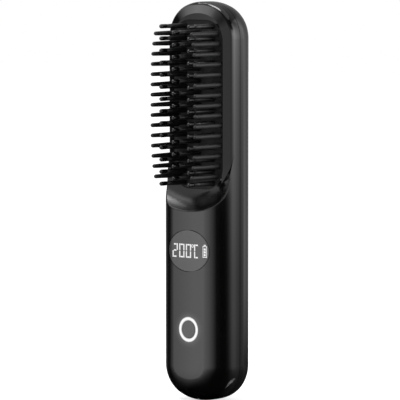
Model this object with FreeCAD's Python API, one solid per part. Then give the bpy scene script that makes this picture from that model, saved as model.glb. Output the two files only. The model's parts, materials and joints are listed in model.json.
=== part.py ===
"""Cordless electric styling brush, standing on its lower end, in millimetres.

The handle and head are one long capsule, +Z runs up along it and the bristles face -Y.
Depths are counted back from the flat front of the handle, so depth 0 is that face.
"""

import FreeCAD, Part
import math
import os

Vector = FreeCAD.Vector
LENGTHWISE = Vector(0, 0, 1)
INWARD = Vector(0, 1, 0)
ACROSS = Vector(1, 0, 0)

# Casing
handle_length = 103.7
body_width = 41.6
body_depth = 26.6
end_radius = 27.0
end_corner_radius = 17.0
front_round = 11.1
back_flat = 2.8
wall = 2.2
parting_offset = 1.0
seam_groove = 0.3
tongue_height = 1.6
fit = 0.05
overcut = 1.0

# Head recess: a bevelled rim and a scoop that climbs from it to the handle
rim_depth = 7.1
rim_bevel_across = 4.8
rim_bevel_down = 1.9
rim_edge_round = 2.2
rim_inner_round = 1.6
lip_round = 0.8
lip_ramp_run = 8.0
lip_ramp_fall = 2.7
scoop_plan_radius = 36.0
scoop_profile_radius = 11.0
scoop_gap = 0.1
head_end_gap = 8.8
rim_band = 5.1

# Bristle field
bed_end_flat = 5.4
bed_step = 0.4
bed_flange = 1.2
bed_flange_thickness = 1.1
guard_inset = 1.9
guard_count = 15
guard_end_gap = 6.48
guard_bow = 2.2
guard_reach = 11.75
guard_root = 1.2
guard_base_radius = 1.35
guard_tip_radius = 0.97
tooth_inset = 4.9
tooth_end_gap = 2.98
side_tooth_count = 14
side_tooth_reach = 10.8
middle_tooth_reach = 12.0
tooth_base_radius = 1.35
tooth_neck_radius = 1.0
tooth_tip_length = 4.6
tooth_tip_radius = 1.05
tooth_clearance = 0.1

# Heater stack behind the bed
heater_plate_inset = 4.2
heater_plate_thickness = 2.0
heater_plate_margin = 1.6
ptc_count = 3
ptc_width = 12.0
ptc_length = 20.0
ptc_gap = 5.0
ptc_thickness = 2.5
stack_margin = 3.6
film_thickness = 0.3
film_margin = 1.0
clamp_thickness = 1.0
carrier_clearance = 0.3
carrier_wall = 1.6
carrier_base = 1.5
carrier_screw_x = 4.0
thermistor_radius = 1.1
thermistor_length = 4.0
fuse_length = 9.0

# Display
display_drop = 29.8
lens_inset = 7.9
lens_half_height = 10.0
lens_thickness = 1.5
lens_groove = 0.35
lens_ledge = 1.2
glyph_height = 6.7
glyph_gap = 0.95
strokes_per_glyph = 4.8
segment_gap = 0.18
segment_inlay = 0.9
readout_margin = 2.65
readout_spaces = 12.4
degree_radius = 0.8
battery_icon_width = 2.6
battery_icon_height = 5.6
battery_icon_inset = 2.45
charge_bars = 3
module_inset = 2.0
module_half_height = 7.5
gasket_thickness = 0.7
gasket_band = 1.4

# Power button and its light ring
button_rise = 13.5
ring_outer_radius = 6.1
ring_inner_radius = 4.5
ring_flange = 0.95
ring_flange_thickness = 0.7
button_clearance = 0.08
button_proud = 0.12
button_edge_round = 0.35
button_flange = 0.85
button_flange_thickness = 0.5
button_flange_gap = 0.05
button_travel = 0.4
switch_side = 6.0
switch_body_height = 1.2
switch_floor = 0.2
plunger_radius = 1.4
plunger_clearance = 0.05
travel_allowance = 0.05
led_side = 1.6
led_height = 0.8
led_circle_radius = 5.7

# Electronics
board_depth = 5.4
board_thickness = 1.0
board_inset = 6.5
board_above_display = 6.6
board_screw_edge = 2.6
board_screw_inset = 5.0
board_screw_gap = 6.3
chip_thickness = 1.2
battery_gap = 0.9
battery_low_step = 2.0
battery_high_step = 3.0
battery_clear = 2.5
battery_fit = 0.02
tab_thickness = 0.2
tab_width = 6.0
tab_foot = 5.0
rib_thickness = 2.0
rib_shoulder = 1.1
rib_inset = 12.0
wire_radius = 0.6
wire_bend = 2.0

# Charging port
usb_width = 8.94
usb_height = 3.26
usb_length = 7.35
usb_wall = 0.3
usb_recess = 0.7
usb_clearance = 0.25
usb_plug_depth = 5.0
tongue_width = 6.69
tongue_thickness = 0.7
charge_board_half_width = 6.4
charge_board_bottom = 4.6
charge_board_top = 17.5
charge_board_thickness = 1.0
charge_screw_x = 3.6
charge_screw_inset = 3.0

# Screws
boss_radius = 2.1
screw_radius = 0.8
screw_fit = 0.02
screw_bite = 3.0
screw_head_radius = 1.7
screw_head_height = 1.1
screw_recess_radius = 0.7
screw_recess_depth = 0.6

# Values worked out from the ones above
half_width = body_width / 2
parting_depth = body_depth / 2 + parting_offset
back_round = body_depth - parting_depth - back_flat
corner_x = half_width - end_corner_radius
corner_lean = math.asin(corner_x / (end_radius - end_corner_radius))
corner_rise = end_radius - (end_radius - end_corner_radius) * math.cos(corner_lean)
bed_half_width = half_width - rim_band
bed_corner_radius = bed_half_width - bed_end_flat
stack_length = ptc_count * (ptc_length + ptc_gap) - ptc_gap + 2 * film_margin
bed_length = stack_length + 2 * (stack_margin + heater_plate_margin)
field_height = handle_length + scoop_gap + bed_length / 2
body_length = field_height + bed_length / 2 + head_end_gap
guard_column_x = bed_half_width - guard_inset
guard_pitch = (bed_length - 2 * guard_end_gap) / (guard_count - 1)
tooth_column_x = guard_column_x - tooth_inset
tooth_pitch = (bed_length - 2 * tooth_end_gap) / (side_tooth_count - 1)
heater_plate_half_width = bed_half_width - heater_plate_inset
bristle_reach = max(guard_reach, side_tooth_reach, middle_tooth_reach)
front_y = bristle_reach - (body_depth + bristle_reach) / 2
far_out = body_depth + body_width
scoop_centre = handle_length + scoop_plan_radius
bed_depth = rim_depth + bed_step
bed_back = rim_depth + wall
flange_back = bed_back + bed_flange_thickness
plate_back = flange_back + heater_plate_thickness
ptc_back = plate_back + ptc_thickness
film_back = ptc_back + film_thickness
clamp_back = film_back + clamp_thickness
carrier_back = clamp_back + carrier_base
fuse_radius = (body_depth - wall - carrier_back) / 5
carrier_inner = heater_plate_half_width + carrier_clearance
carrier_outer = carrier_inner + carrier_wall
plate_half_length = bed_length / 2 - heater_plate_margin
carrier_half_length = plate_half_length + carrier_clearance + carrier_wall
ear_screw_offset = bed_length / 2 + bed_flange + carrier_clearance + boss_radius
ear_reach = ear_screw_offset + boss_radius
board_back = board_depth + board_thickness
display_height = handle_length - display_drop
lens_half_width = half_width - lens_inset
module_half_width = lens_half_width - module_inset
glyph_width = (2 * lens_half_width - readout_spaces) / 4
glyph_pitch = glyph_width + glyph_gap
glyph_stroke = glyph_width / strokes_per_glyph
readout_left = readout_margin - lens_half_width
battery_icon_x = lens_half_width - battery_icon_inset
battery_bottom = charge_board_top + battery_clear
board_bottom = battery_bottom + battery_low_step
board_top = display_height + module_half_height + board_above_display
board_half_width = half_width - board_inset
board_screw_x = board_half_width - board_screw_edge
battery_length = board_top - battery_high_step - battery_bottom
battery_radius = (body_depth - wall - board_back) / 2 - battery_gap
battery_depth = board_back + battery_gap + battery_radius
rib_half_width = battery_radius + rib_shoulder
button_height = board_bottom + button_rise
ring_top = button_height + ring_outer_radius + ring_flange
module_bottom = display_height - module_half_height
chip_side = (module_bottom - ring_top) / 3
chip_height = (module_bottom + ring_top) / 2
ring_back = wall + ring_flange_thickness
button_flange_front = ring_back + button_flange_gap
button_back = button_flange_front + button_flange_thickness
switch_front = board_depth - switch_body_height
plunger_back = board_depth - switch_floor - button_travel - travel_allowance
battery_top = battery_bottom + battery_length
usb_depth = body_depth / 2
charge_board_depth = usb_depth + usb_height / 2
charge_board_back = charge_board_depth + charge_board_thickness
middle_tooth_count = side_tooth_count - 1


def at(x, depth, z):
    """Point at a distance across, a depth behind the handle's front and a height."""
    return Vector(x, front_y + depth, z)


def block(x0, x1, depth0, depth1, z0, z1):
    """Box between two corners."""
    return Part.makeBox(x1 - x0, depth1 - depth0, z1 - z0, at(x0, depth0, z0))


def rod(radius, x, z, depth0, depth1):
    """Round bar that runs straight into the body."""
    return Part.makeCylinder(radius, depth1 - depth0, at(x, depth0, z), INWARD)


def sleeve(outer, inner, x, z, depth0, depth1):
    """Tube that runs straight into the body."""
    return rod(outer, x, z, depth0, depth1).cut(rod(inner, x, z, depth0, depth1))


def slab_between(depth0, depth1):
    """Everything between two depths."""
    return block(-body_width, body_width, depth0, depth1, -body_width, body_length + body_width)


def screw_hole(x, z, depth0, depth1):
    """Pilot hole for a screw's shank."""
    return rod(screw_radius + screw_fit, x, z, depth0, depth1)


def face_of(edges):
    """Flat face inside a closed loop of edges."""
    return Part.Face(Part.Wire(edges))


def rounded_plate(half_x, half_z, radius, centre_z, depth0, depth1):
    """Upright plate with rounded corners, centred across the body."""
    inner_x, inner_z = half_x - radius, half_z - radius
    slant = radius * math.sqrt(0.5)
    corners = [(1, 1), (-1, 1), (-1, -1), (1, -1)]
    edges = []
    previous = None
    first = None
    for sx, sz in corners:
        side = at(sx * half_x, depth0, centre_z + sz * inner_z)
        end = at(sx * inner_x, depth0, centre_z + sz * half_z)
        middle = at(sx * (inner_x + slant), depth0, centre_z + sz * (inner_z + slant))
        start, finish = (side, end) if sx == sz else (end, side)
        if previous is not None:
            edges.append(Part.LineSegment(previous, start).toShape())
        edges.append(Part.Arc(start, middle, finish).toShape())
        first = first or start
        previous = finish
    edges.append(Part.LineSegment(previous, first).toShape())
    return face_of(edges).extrude(INWARD * (depth1 - depth0))


def lens_plate(margin):
    """Upright elliptical block in the display window's outline, grown by a margin."""
    half_x, half_z = lens_half_width + margin, lens_half_height + margin
    oval = Part.Ellipse(at(0, -overcut, display_height), max(half_x, half_z), min(half_x, half_z))
    oval.Axis = INWARD
    oval.XAxis = ACROSS if half_x >= half_z else LENGTHWISE
    return face_of([oval.toShape()]).extrude(INWARD * (overcut + front_round))


def edges_at_depth(shape, depth):
    """Edges of a shape that lie in one plane parallel to the front."""
    y = front_y + depth
    return [e for e in shape.Edges if abs(e.BoundBox.YMin - y) + abs(e.BoundBox.YMax - y) < 1e-4]


def end_arcs(inset, end, way):
    """Three arcs across one end of the body's outline, from left to right.

    The end is its height, and way is 1 where the body lies above it and -1 where it lies below.
    """
    half, corner, crown = half_width - inset, end_corner_radius - inset, end_radius - inset
    turn = (math.pi / 2 + corner_lean) / 2
    bend_x, bend_z = corner_x + corner * math.sin(turn), corner_rise - corner * math.cos(turn)
    touch_x, touch_z = crown * math.sin(corner_lean), end_radius - crown * math.cos(corner_lean)

    def spot(x, rise):
        return at(x, inset, end + way * rise)

    return [
        Part.Arc(spot(-half, corner_rise), spot(-bend_x, bend_z), spot(-touch_x, touch_z)).toShape(),
        Part.Arc(spot(-touch_x, touch_z), spot(0, inset), spot(touch_x, touch_z)).toShape(),
        Part.Arc(spot(touch_x, touch_z), spot(bend_x, bend_z), spot(half, corner_rise)).toShape(),
    ]


def capsule(inset):
    """The whole body before the head is cut back, drawn in by a margin on every side."""
    half = half_width - inset
    low, high = corner_rise, body_length - corner_rise
    edges = end_arcs(inset, 0, 1)
    edges.append(Part.LineSegment(at(half, inset, low), at(half, inset, high)).toShape())
    edges.extend(reversed(end_arcs(inset, body_length, -1)))
    edges.append(Part.LineSegment(at(-half, inset, high), at(-half, inset, low)).toShape())
    solid = face_of(edges).extrude(INWARD * (body_depth - 2 * inset))
    solid = solid.makeFillet(front_round - inset, edges_at_depth(solid, inset))
    return solid.makeFillet(back_round - inset, edges_at_depth(solid, body_depth - inset))


def head_space(margin):
    """Space in front of the head's rim plane and scoop, grown by a margin."""
    depth = rim_depth + margin
    radius = scoop_profile_radius + margin
    outer = scoop_plan_radius + radius
    arc_depth = rim_depth - scoop_profile_radius
    slant = radius * math.sqrt(0.5)

    def profile(reach, d):
        return at(0, d, scoop_centre - reach)

    edges = [
        Part.LineSegment(profile(0, -far_out), profile(0, depth)).toShape(),
        Part.LineSegment(profile(0, depth), profile(scoop_plan_radius, depth)).toShape(),
        Part.Arc(
            profile(scoop_plan_radius, depth),
            profile(scoop_plan_radius + slant, arc_depth + slant),
            profile(outer, arc_depth),
        ).toShape(),
        Part.LineSegment(profile(outer, arc_depth), profile(outer, -far_out)).toShape(),
        Part.LineSegment(profile(outer, -far_out), profile(0, -far_out)).toShape(),
    ]
    scoop = face_of(edges).revolve(at(0, 0, scoop_centre), INWARD, 360)
    above = block(-body_width, body_width, -far_out, depth, scoop_centre, body_length + body_width)
    return scoop, above


def cut_back(shape, margin):
    """A capsule with the head's front taken away."""
    scoop, above = head_space(margin)
    return shape.cut(scoop).cut(above).removeSplitter()


def rim_edges(shape, margin):
    """The loop of edges where the rim plane and scoop of a cut-back capsule meet its outside."""
    foot = scoop_plan_radius
    limit = front_y + rim_depth + margin + 1e-3
    loop = []
    for edge in shape.Edges:
        box = edge.BoundBox
        round_foot = hasattr(edge.Curve, "Radius") and abs(edge.Curve.Radius - foot) < 1e-6
        if box.YMax < limit and box.ZMin > scoop_centre - 2 * foot and not round_foot:
            loop.append(edge)
    return loop


def bevel_edges(shape):
    """The two straight edges where the rim's bevel meets the sides of the body."""
    sides = []
    for edge in shape.Edges:
        middle = edge.CenterOfMass
        below_rim = middle.y - front_y - rim_depth
        upright = edge.BoundBox.ZLength > bed_length / 2 and middle.z > handle_length
        if upright and abs(middle.x) > half_width - wall / 2 and 0 < below_rim < rim_bevel_down:
            sides.append(edge)
    return sides


def lip_space():
    """Space round the scoop's lip, with a ramp where the rim's bevel fades out."""
    foot = scoop_plan_radius
    corners = [
        (foot, rim_depth),
        (foot - lip_ramp_run, rim_depth + lip_ramp_fall),
        (foot - lip_ramp_run, body_depth),
        (2 * foot, body_depth),
        (2 * foot, -far_out),
        (foot, -far_out),
        (foot, rim_depth),
    ]
    outline = Part.makePolygon([at(0, depth, scoop_centre - reach) for reach, depth in corners])
    ring = Part.Face(outline).revolve(at(0, 0, scoop_centre), INWARD, 360)
    return ring.common(block(-body_width, body_width, -far_out, body_depth, 0, scoop_centre))


def screw(x, z, seat_depth, inward):
    """Pan-head screw whose head rests on a seat; the shank runs forward or back from it."""
    way = 1 if inward else -1
    depths = sorted((seat_depth, seat_depth + way * screw_bite))
    shank = rod(screw_radius, x, z, *depths)
    head_depths = sorted((seat_depth, seat_depth - way * screw_head_height))
    head = rod(screw_head_radius, x, z, *head_depths)
    top = seat_depth - way * screw_head_height
    recess_depths = sorted((top, top + way * screw_recess_depth))
    return shank.fuse(head).cut(rod(screw_recess_radius, x, z, *recess_depths))


def wire(points):
    """Insulated lead along straight runs joined by arcs."""
    edges = []
    start = points[0]
    for before, corner, after in zip(points, points[1:], points[2:]):
        into = (corner - before).normalize()
        out = (after - corner).normalize()
        half_turn = into.getAngle(out) / 2
        back = wire_bend * math.tan(half_turn)
        entry, leave = corner - into * back, corner + out * back
        centre_way = (out - into).normalize()
        bulge = wire_bend / math.cos(half_turn) - wire_bend
        edges.append(Part.LineSegment(start, entry).toShape())
        edges.append(Part.Arc(entry, corner + centre_way * bulge, leave).toShape())
        start = leave
    edges.append(Part.LineSegment(start, points[-1]).toShape())
    path = Part.Wire(edges)
    along = (points[1] - points[0]).normalize()
    section = Part.Wire(Part.Circle(points[0], along, wire_radius).toShape())
    return path.makePipeShell([section], True, False)


def bristle(x, z, root_depth, base_depth, tip_depth, base_radius, tip_radius):
    """Tapered bristle with a straight root and a round end, pointing out of the front."""
    root = rod(base_radius, x, z, base_depth, root_depth)
    shoulder = tip_depth + tip_radius
    taper = Part.makeCone(base_radius, tip_radius, base_depth - shoulder, at(x, base_depth, z), -INWARD)
    end = Part.makeSphere(tip_radius, at(x, shoulder, z))
    return root.fuse([taper, end]).removeSplitter()


def heated_tooth(x, z, reach):
    """Metal tooth from the heater plate to the foot of its insulating tip."""
    root = rod(tooth_base_radius, x, z, bed_depth, flange_back)
    length = bed_depth + reach - tooth_tip_length
    taper = Part.makeCone(tooth_base_radius, tooth_neck_radius, length, at(x, bed_depth, z), -INWARD)
    return root.fuse(taper).removeSplitter()


def tooth_tip(x, z, reach):
    """Insulating cap on the end of a tooth."""
    shoulder = tooth_tip_radius - reach
    barrel = rod(tooth_tip_radius, x, z, shoulder, tooth_tip_length - reach)
    return barrel.fuse(Part.makeSphere(tooth_tip_radius, at(x, shoulder, z))).removeSplitter()


def column(count, pitch):
    """Heights of an evenly spaced column, centred on the bristle field."""
    return [field_height + pitch * (i - (count - 1) / 2) for i in range(count)]


def tooth_places():
    """Place and reach of every heated tooth: two side columns and a staggered middle one."""
    for z in column(side_tooth_count, tooth_pitch):
        yield -tooth_column_x, z, side_tooth_reach
        yield tooth_column_x, z, side_tooth_reach
    for z in column(middle_tooth_count, tooth_pitch):
        yield 0.0, z, middle_tooth_reach


def guard_places():
    """Place of every outer bristle; both columns bow inwards towards their ends."""
    half_span = guard_pitch * (guard_count - 1) / 2
    for z in column(guard_count, guard_pitch):
        x = guard_column_x - guard_bow * ((z - field_height) / half_span) ** 4
        yield -x, z
        yield x, z


def digit_segments(letter, left, low):
    """Bars of one seven-segment character, as boxes that run through the lens."""
    lit = {"2": "abged", "0": "abcdef", "C": "adef"}[letter]
    right, high = left + glyph_width, low + glyph_height
    middle = low + glyph_height / 2
    half, trim = glyph_stroke / 2, glyph_stroke + segment_gap
    across = {"a": high - half, "g": middle, "d": low + half}
    upright = {"f": (left, 1), "b": (right - glyph_stroke, 1), "e": (left, 0), "c": (right - glyph_stroke, 0)}
    for name in lit:
        if name in across:
            z = across[name]
            yield block(left + trim, right - trim, -overcut, board_depth, z - half, z + half)
        else:
            x, upper = upright[name]
            z0, z1 = (middle + segment_gap, high) if upper else (low, middle - segment_gap)
            yield block(x, x + glyph_stroke, -overcut, board_depth, z0, z1)


def readout_prisms():
    """Shapes of the glowing readout: digits, a degree ring and a battery sign."""
    low = display_height - glyph_height / 2
    prisms = []
    letters = [(readout_left + i * glyph_pitch, "200"[i]) for i in range(3)]
    degree_x = readout_left + 3 * glyph_pitch
    letters.append((degree_x + degree_radius + segment_gap, "C"))
    for left, letter in letters:
        prisms.extend(digit_segments(letter, left, low))
    degree_z = low + glyph_height - degree_radius
    inner = degree_radius - glyph_stroke / 2
    prisms.append(sleeve(degree_radius, inner, degree_x, degree_z, -overcut, board_depth))
    half, tall = battery_icon_width / 2, battery_icon_height / 2
    x, z, line = battery_icon_x, display_height, glyph_stroke / 2
    frame = block(x - half, x + half, -overcut, board_depth, z - tall, z + tall)
    hollow = block(x - half + line, x + half - line, -2 * overcut, board_depth + overcut,
                   z - tall + line, z + tall - line)
    prisms.append(frame.cut(hollow))
    prisms.append(block(x - half / 2, x + half / 2, -overcut, board_depth,
                        z + tall + segment_gap, z + tall + glyph_stroke))
    bar = (2 * tall - 4 * line) / charge_bars
    for step in range(charge_bars):
        z0 = z - tall + 2 * line + step * bar
        prisms.append(block(x - half + 2 * line, x + half - 2 * line, -overcut, board_depth,
                            z0, z0 + bar - line))
    return prisms


def usb_outline(margin, z0, z1):
    """Rounded slot shape of the charging port, grown by a margin."""
    half_x, half_y = usb_width / 2 + margin, usb_height / 2 + margin
    slab = block(half_y - half_x, half_x - half_y, usb_depth - half_y, usb_depth + half_y, z0, z1)
    ends = [
        Part.makeCylinder(half_y, z1 - z0, at(side * (half_x - half_y), usb_depth, z0), LENGTHWISE)
        for side in (-1, 1)
    ]
    return slab.fuse(ends).removeSplitter()


def save(name, shape):
    """Write one piece, or one group of alike pieces, to its own file."""
    shape.exportStep(os.path.join("parts", name + ".step"))


# Casing blanks shared by both shells
outer = cut_back(capsule(0), 0)
lip = outer.makeFillet(lip_round, rim_edges(outer, 0)).common(lip_space())
outer = outer.makeChamfer(rim_bevel_down, rim_bevel_across, rim_edges(outer, 0)[:1])
outer = outer.makeFillet(rim_edge_round, bevel_edges(outer)).fuse(lip).removeSplitter()
inner = cut_back(capsule(wall), wall)
inner = inner.makeFillet(rim_inner_round, rim_edges(inner, wall))
skin = outer.cut(inner)
groove = capsule(-wall).cut(capsule(seam_groove)).common(
    slab_between(parting_depth - seam_groove / 2, parting_depth + seam_groove / 2)
)
skin = skin.cut(groove)
tongue = capsule(wall / 2).cut(inner).common(slab_between(parting_depth - tongue_height, parting_depth))
tongue_room = capsule(wall / 2 - fit).cut(inner).common(
    slab_between(parting_depth - tongue_height - fit, parting_depth)
)
usb_slot = usb_outline(usb_clearance, -overcut, usb_recess + usb_length)

board_screw_heights = [board_bottom + board_screw_inset, module_bottom - boss_radius - board_screw_gap]
board_screw_places = [(s * board_screw_x, z) for z in board_screw_heights for s in (-1, 1)]
carrier_screw_places = [
    (s * carrier_screw_x, field_height + e * ear_screw_offset) for e in (-1, 1) for s in (-1, 1)
]
charge_screw_places = [(s * charge_screw_x, charge_board_top - charge_screw_inset) for s in (-1, 1)]


def front_shell():
    """Handle front and head rim in one moulding, with its windows and screw bosses."""
    shell = skin.common(slab_between(-far_out, parting_depth)).cut(tongue_room)
    bosses = [rod(boss_radius, x, z, 0, board_depth) for x, z in board_screw_places]
    bosses += [rod(boss_radius, x, z, 0, clamp_back) for x, z in carrier_screw_places]
    shell = shell.fuse([boss.common(inner) for boss in bosses])
    cuts = [screw_hole(x, z, board_back - screw_bite - fit, board_depth) for x, z in board_screw_places]
    cuts += [screw_hole(x, z, carrier_back - screw_bite - fit, clamp_back) for x, z in carrier_screw_places]
    cuts.append(lens_plate(lens_groove).cut(capsule(lens_thickness)))
    cuts.append(lens_plate(-lens_ledge))
    cuts.append(rod(ring_outer_radius + fit, 0, button_height, -overcut, ring_back))
    cuts.append(
        rounded_plate(bed_half_width + fit, bed_length / 2 + fit, bed_corner_radius + fit, field_height,
                      -far_out, bed_back + fit)
    )
    cuts.append(usb_slot)
    return shell.cut(cuts).removeSplitter()


def rear_shell():
    """Back of handle and head, with battery saddles and bosses for the charge board."""
    shell = skin.common(slab_between(parting_depth, far_out)).fuse(tongue)
    saddles = []
    for z in (battery_bottom + rib_inset, battery_top - rib_inset - rib_thickness):
        rib = block(-rib_half_width, rib_half_width, battery_depth, far_out, z, z + rib_thickness)
        saddles.append(rib.common(inner))
    bosses = [
        rod(boss_radius, x, z, charge_board_back, body_depth).common(inner) for x, z in charge_screw_places
    ]
    shell = shell.fuse(saddles + bosses)
    cradle = Part.makeCylinder(
        battery_radius + battery_fit, battery_length, at(0, battery_depth, battery_bottom), LENGTHWISE
    )
    cuts = [screw_hole(x, z, charge_board_back, charge_board_depth + screw_bite + fit)
            for x, z in charge_screw_places]
    return shell.cut(cuts + [cradle, usb_slot]).removeSplitter()


def display_pieces():
    """Smoked lens with its clear readout windows, the gasket and the light module."""
    front_skin = capsule(0).cut(capsule(lens_thickness))
    lens = lens_plate(0).common(front_skin)
    inlay = capsule(0).cut(capsule(segment_inlay))
    segments = [prism.common(inlay) for prism in readout_prisms()]
    save("display_segments", Part.makeCompound(segments))
    save("display_lens", lens.cut(segments))
    gasket_back = wall + gasket_thickness
    half_x, half_z = module_half_width, module_half_height
    rim = block(-half_x, half_x, 0, gasket_back, display_height - half_z, display_height + half_z)
    hole = block(-half_x + gasket_band, half_x - gasket_band, -overcut, gasket_back + overcut,
                 display_height - half_z + gasket_band, display_height + half_z - gasket_band)
    save("display_gasket", rim.cut(hole).common(inner))
    save("display_module", block(-half_x, half_x, gasket_back, board_depth,
                                 display_height - half_z, display_height + half_z))


def button_pieces():
    """Light ring, sprung power button with its plunger, the switch and the ring's lamps."""
    z = button_height
    ring = rod(ring_outer_radius, 0, z, 0, ring_back).fuse(
        rod(ring_outer_radius + ring_flange, 0, z, wall, ring_back)
    )
    save("light_ring", ring.cut(rod(ring_inner_radius, 0, z, -overcut, ring_back + overcut)).removeSplitter())
    cap_radius = ring_inner_radius - button_clearance
    cap = rod(cap_radius, 0, z, -button_proud, button_back)
    cap = cap.makeFillet(button_edge_round, edges_at_depth(cap, -button_proud))
    collar = rod(cap_radius + button_flange, 0, z, button_flange_front, button_back)
    save("power_button", cap.fuse(collar).removeSplitter())
    save("switch_plunger", rod(plunger_radius, 0, z, button_back, plunger_back))
    half = switch_side / 2
    body = block(-half, half, switch_front, board_depth, z - half, z + half)
    save("switch_body", body.cut(
        rod(plunger_radius + plunger_clearance, 0, z, switch_front - overcut, board_depth - switch_floor)
    ))
    place = led_circle_radius * math.sqrt(0.5)
    lamps = [
        block(sx * place - led_side / 2, sx * place + led_side / 2, board_depth - led_height, board_depth,
              z + sz * place - led_side / 2, z + sz * place + led_side / 2)
        for sx in (-1, 1) for sz in (-1, 1)
    ]
    save("ring_leds", Part.makeCompound(lamps))


def electronics_pieces():
    """Main board, its chip and screws, and the battery with its welded tabs."""
    board = rounded_plate(board_half_width, (board_top - board_bottom) / 2, boss_radius,
                          (board_top + board_bottom) / 2, board_depth, board_back)
    holes = [screw_hole(x, z, board_depth - overcut, board_back + overcut) for x, z in board_screw_places]
    save("main_board", board.cut(holes))
    save("board_screws", Part.makeCompound([screw(x, z, board_back, False) for x, z in board_screw_places]))
    half = chip_side / 2
    save("control_chip", block(-half, half, board_depth - chip_thickness, board_depth,
                               chip_height - half, chip_height + half))
    cell = Part.makeCylinder(battery_radius, battery_length, at(0, battery_depth, battery_bottom), LENGTHWISE)
    save("battery_cell", cell.makeFillet(tab_thickness * 2, [e for e in cell.Edges if e.Closed]))
    tabs = []
    half = tab_width / 2
    for end, way in ((battery_bottom, -1), (battery_top, 1)):
        face = sorted((end, end + way * tab_thickness))
        foot = sorted((end + way * tab_thickness, end - way * tab_foot))
        strap = block(-half, half, board_back, battery_depth + half, *face)
        leg = block(-half, half, board_back, board_back + tab_thickness, *foot)
        tabs.append(strap.fuse(leg).removeSplitter())
    save("battery_tabs", Part.makeCompound(tabs))


def charging_pieces():
    """Charging socket, its small board with screws, and the leads to the main board."""
    usb_top = usb_recess + usb_length
    bore = usb_outline(-usb_wall, usb_recess - overcut, usb_top + overcut)
    can = usb_outline(0, usb_recess, usb_top).cut(bore)
    save("usb_receptacle", can)
    plug_end = usb_recess + usb_plug_depth
    back = usb_outline(-usb_wall, plug_end, usb_top)
    half, thick = tongue_width / 2, tongue_thickness / 2
    blade = block(-half, half, usb_depth - thick, usb_depth + thick, usb_recess + usb_wall * 2, plug_end)
    save("usb_tongue", back.fuse(blade).removeSplitter())
    board = block(-charge_board_half_width, charge_board_half_width, charge_board_depth, charge_board_back,
                  charge_board_bottom, charge_board_top)
    holes = [screw_hole(x, z, charge_board_depth - overcut, charge_board_back + overcut)
             for x, z in charge_screw_places]
    save("charge_board", board.cut(holes))
    save("charge_screws", Part.makeCompound(
        [screw(x, z, charge_board_depth, True) for x, z in charge_screw_places]
    ))
    run_depth = board_back + wire_radius
    start_z = charge_board_top - wire_radius
    leads = []
    for side in (-1, 1):
        x = side * (charge_screw_x + screw_head_radius + wire_radius)
        leads.append(wire([at(x, charge_board_depth, start_z), at(x, run_depth, start_z),
                           at(x, run_depth, board_bottom + tab_foot)]))
    save("charge_leads", Part.makeCompound(leads))


def bristle_pieces():
    """Bed, outer bristles, heated teeth and their insulating tips."""
    half_length = bed_length / 2
    bed = rounded_plate(bed_half_width, half_length, bed_corner_radius, field_height,
                        bed_depth, bed_back + fit)
    flange = rounded_plate(bed_half_width + bed_flange, half_length + bed_flange,
                           bed_corner_radius + bed_flange, field_height, bed_back + fit, flange_back)
    root_depth = bed_depth + guard_root
    holes = [rod(tooth_base_radius + tooth_clearance, x, z, 0, far_out) for x, z, _ in tooth_places()]
    holes += [rod(guard_base_radius, x, z, 0, root_depth) for x, z in guard_places()]
    save("bristle_bed", bed.fuse(flange).removeSplitter().cut(holes))
    save("guard_bristles", Part.makeCompound([
        bristle(x, z, root_depth, bed_depth, -guard_reach, guard_base_radius, guard_tip_radius)
        for x, z in guard_places()
    ]))
    save("heated_teeth", Part.makeCompound([heated_tooth(*place) for place in tooth_places()]))
    save("tooth_tips", Part.makeCompound([tooth_tip(*place) for place in tooth_places()]))


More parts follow.
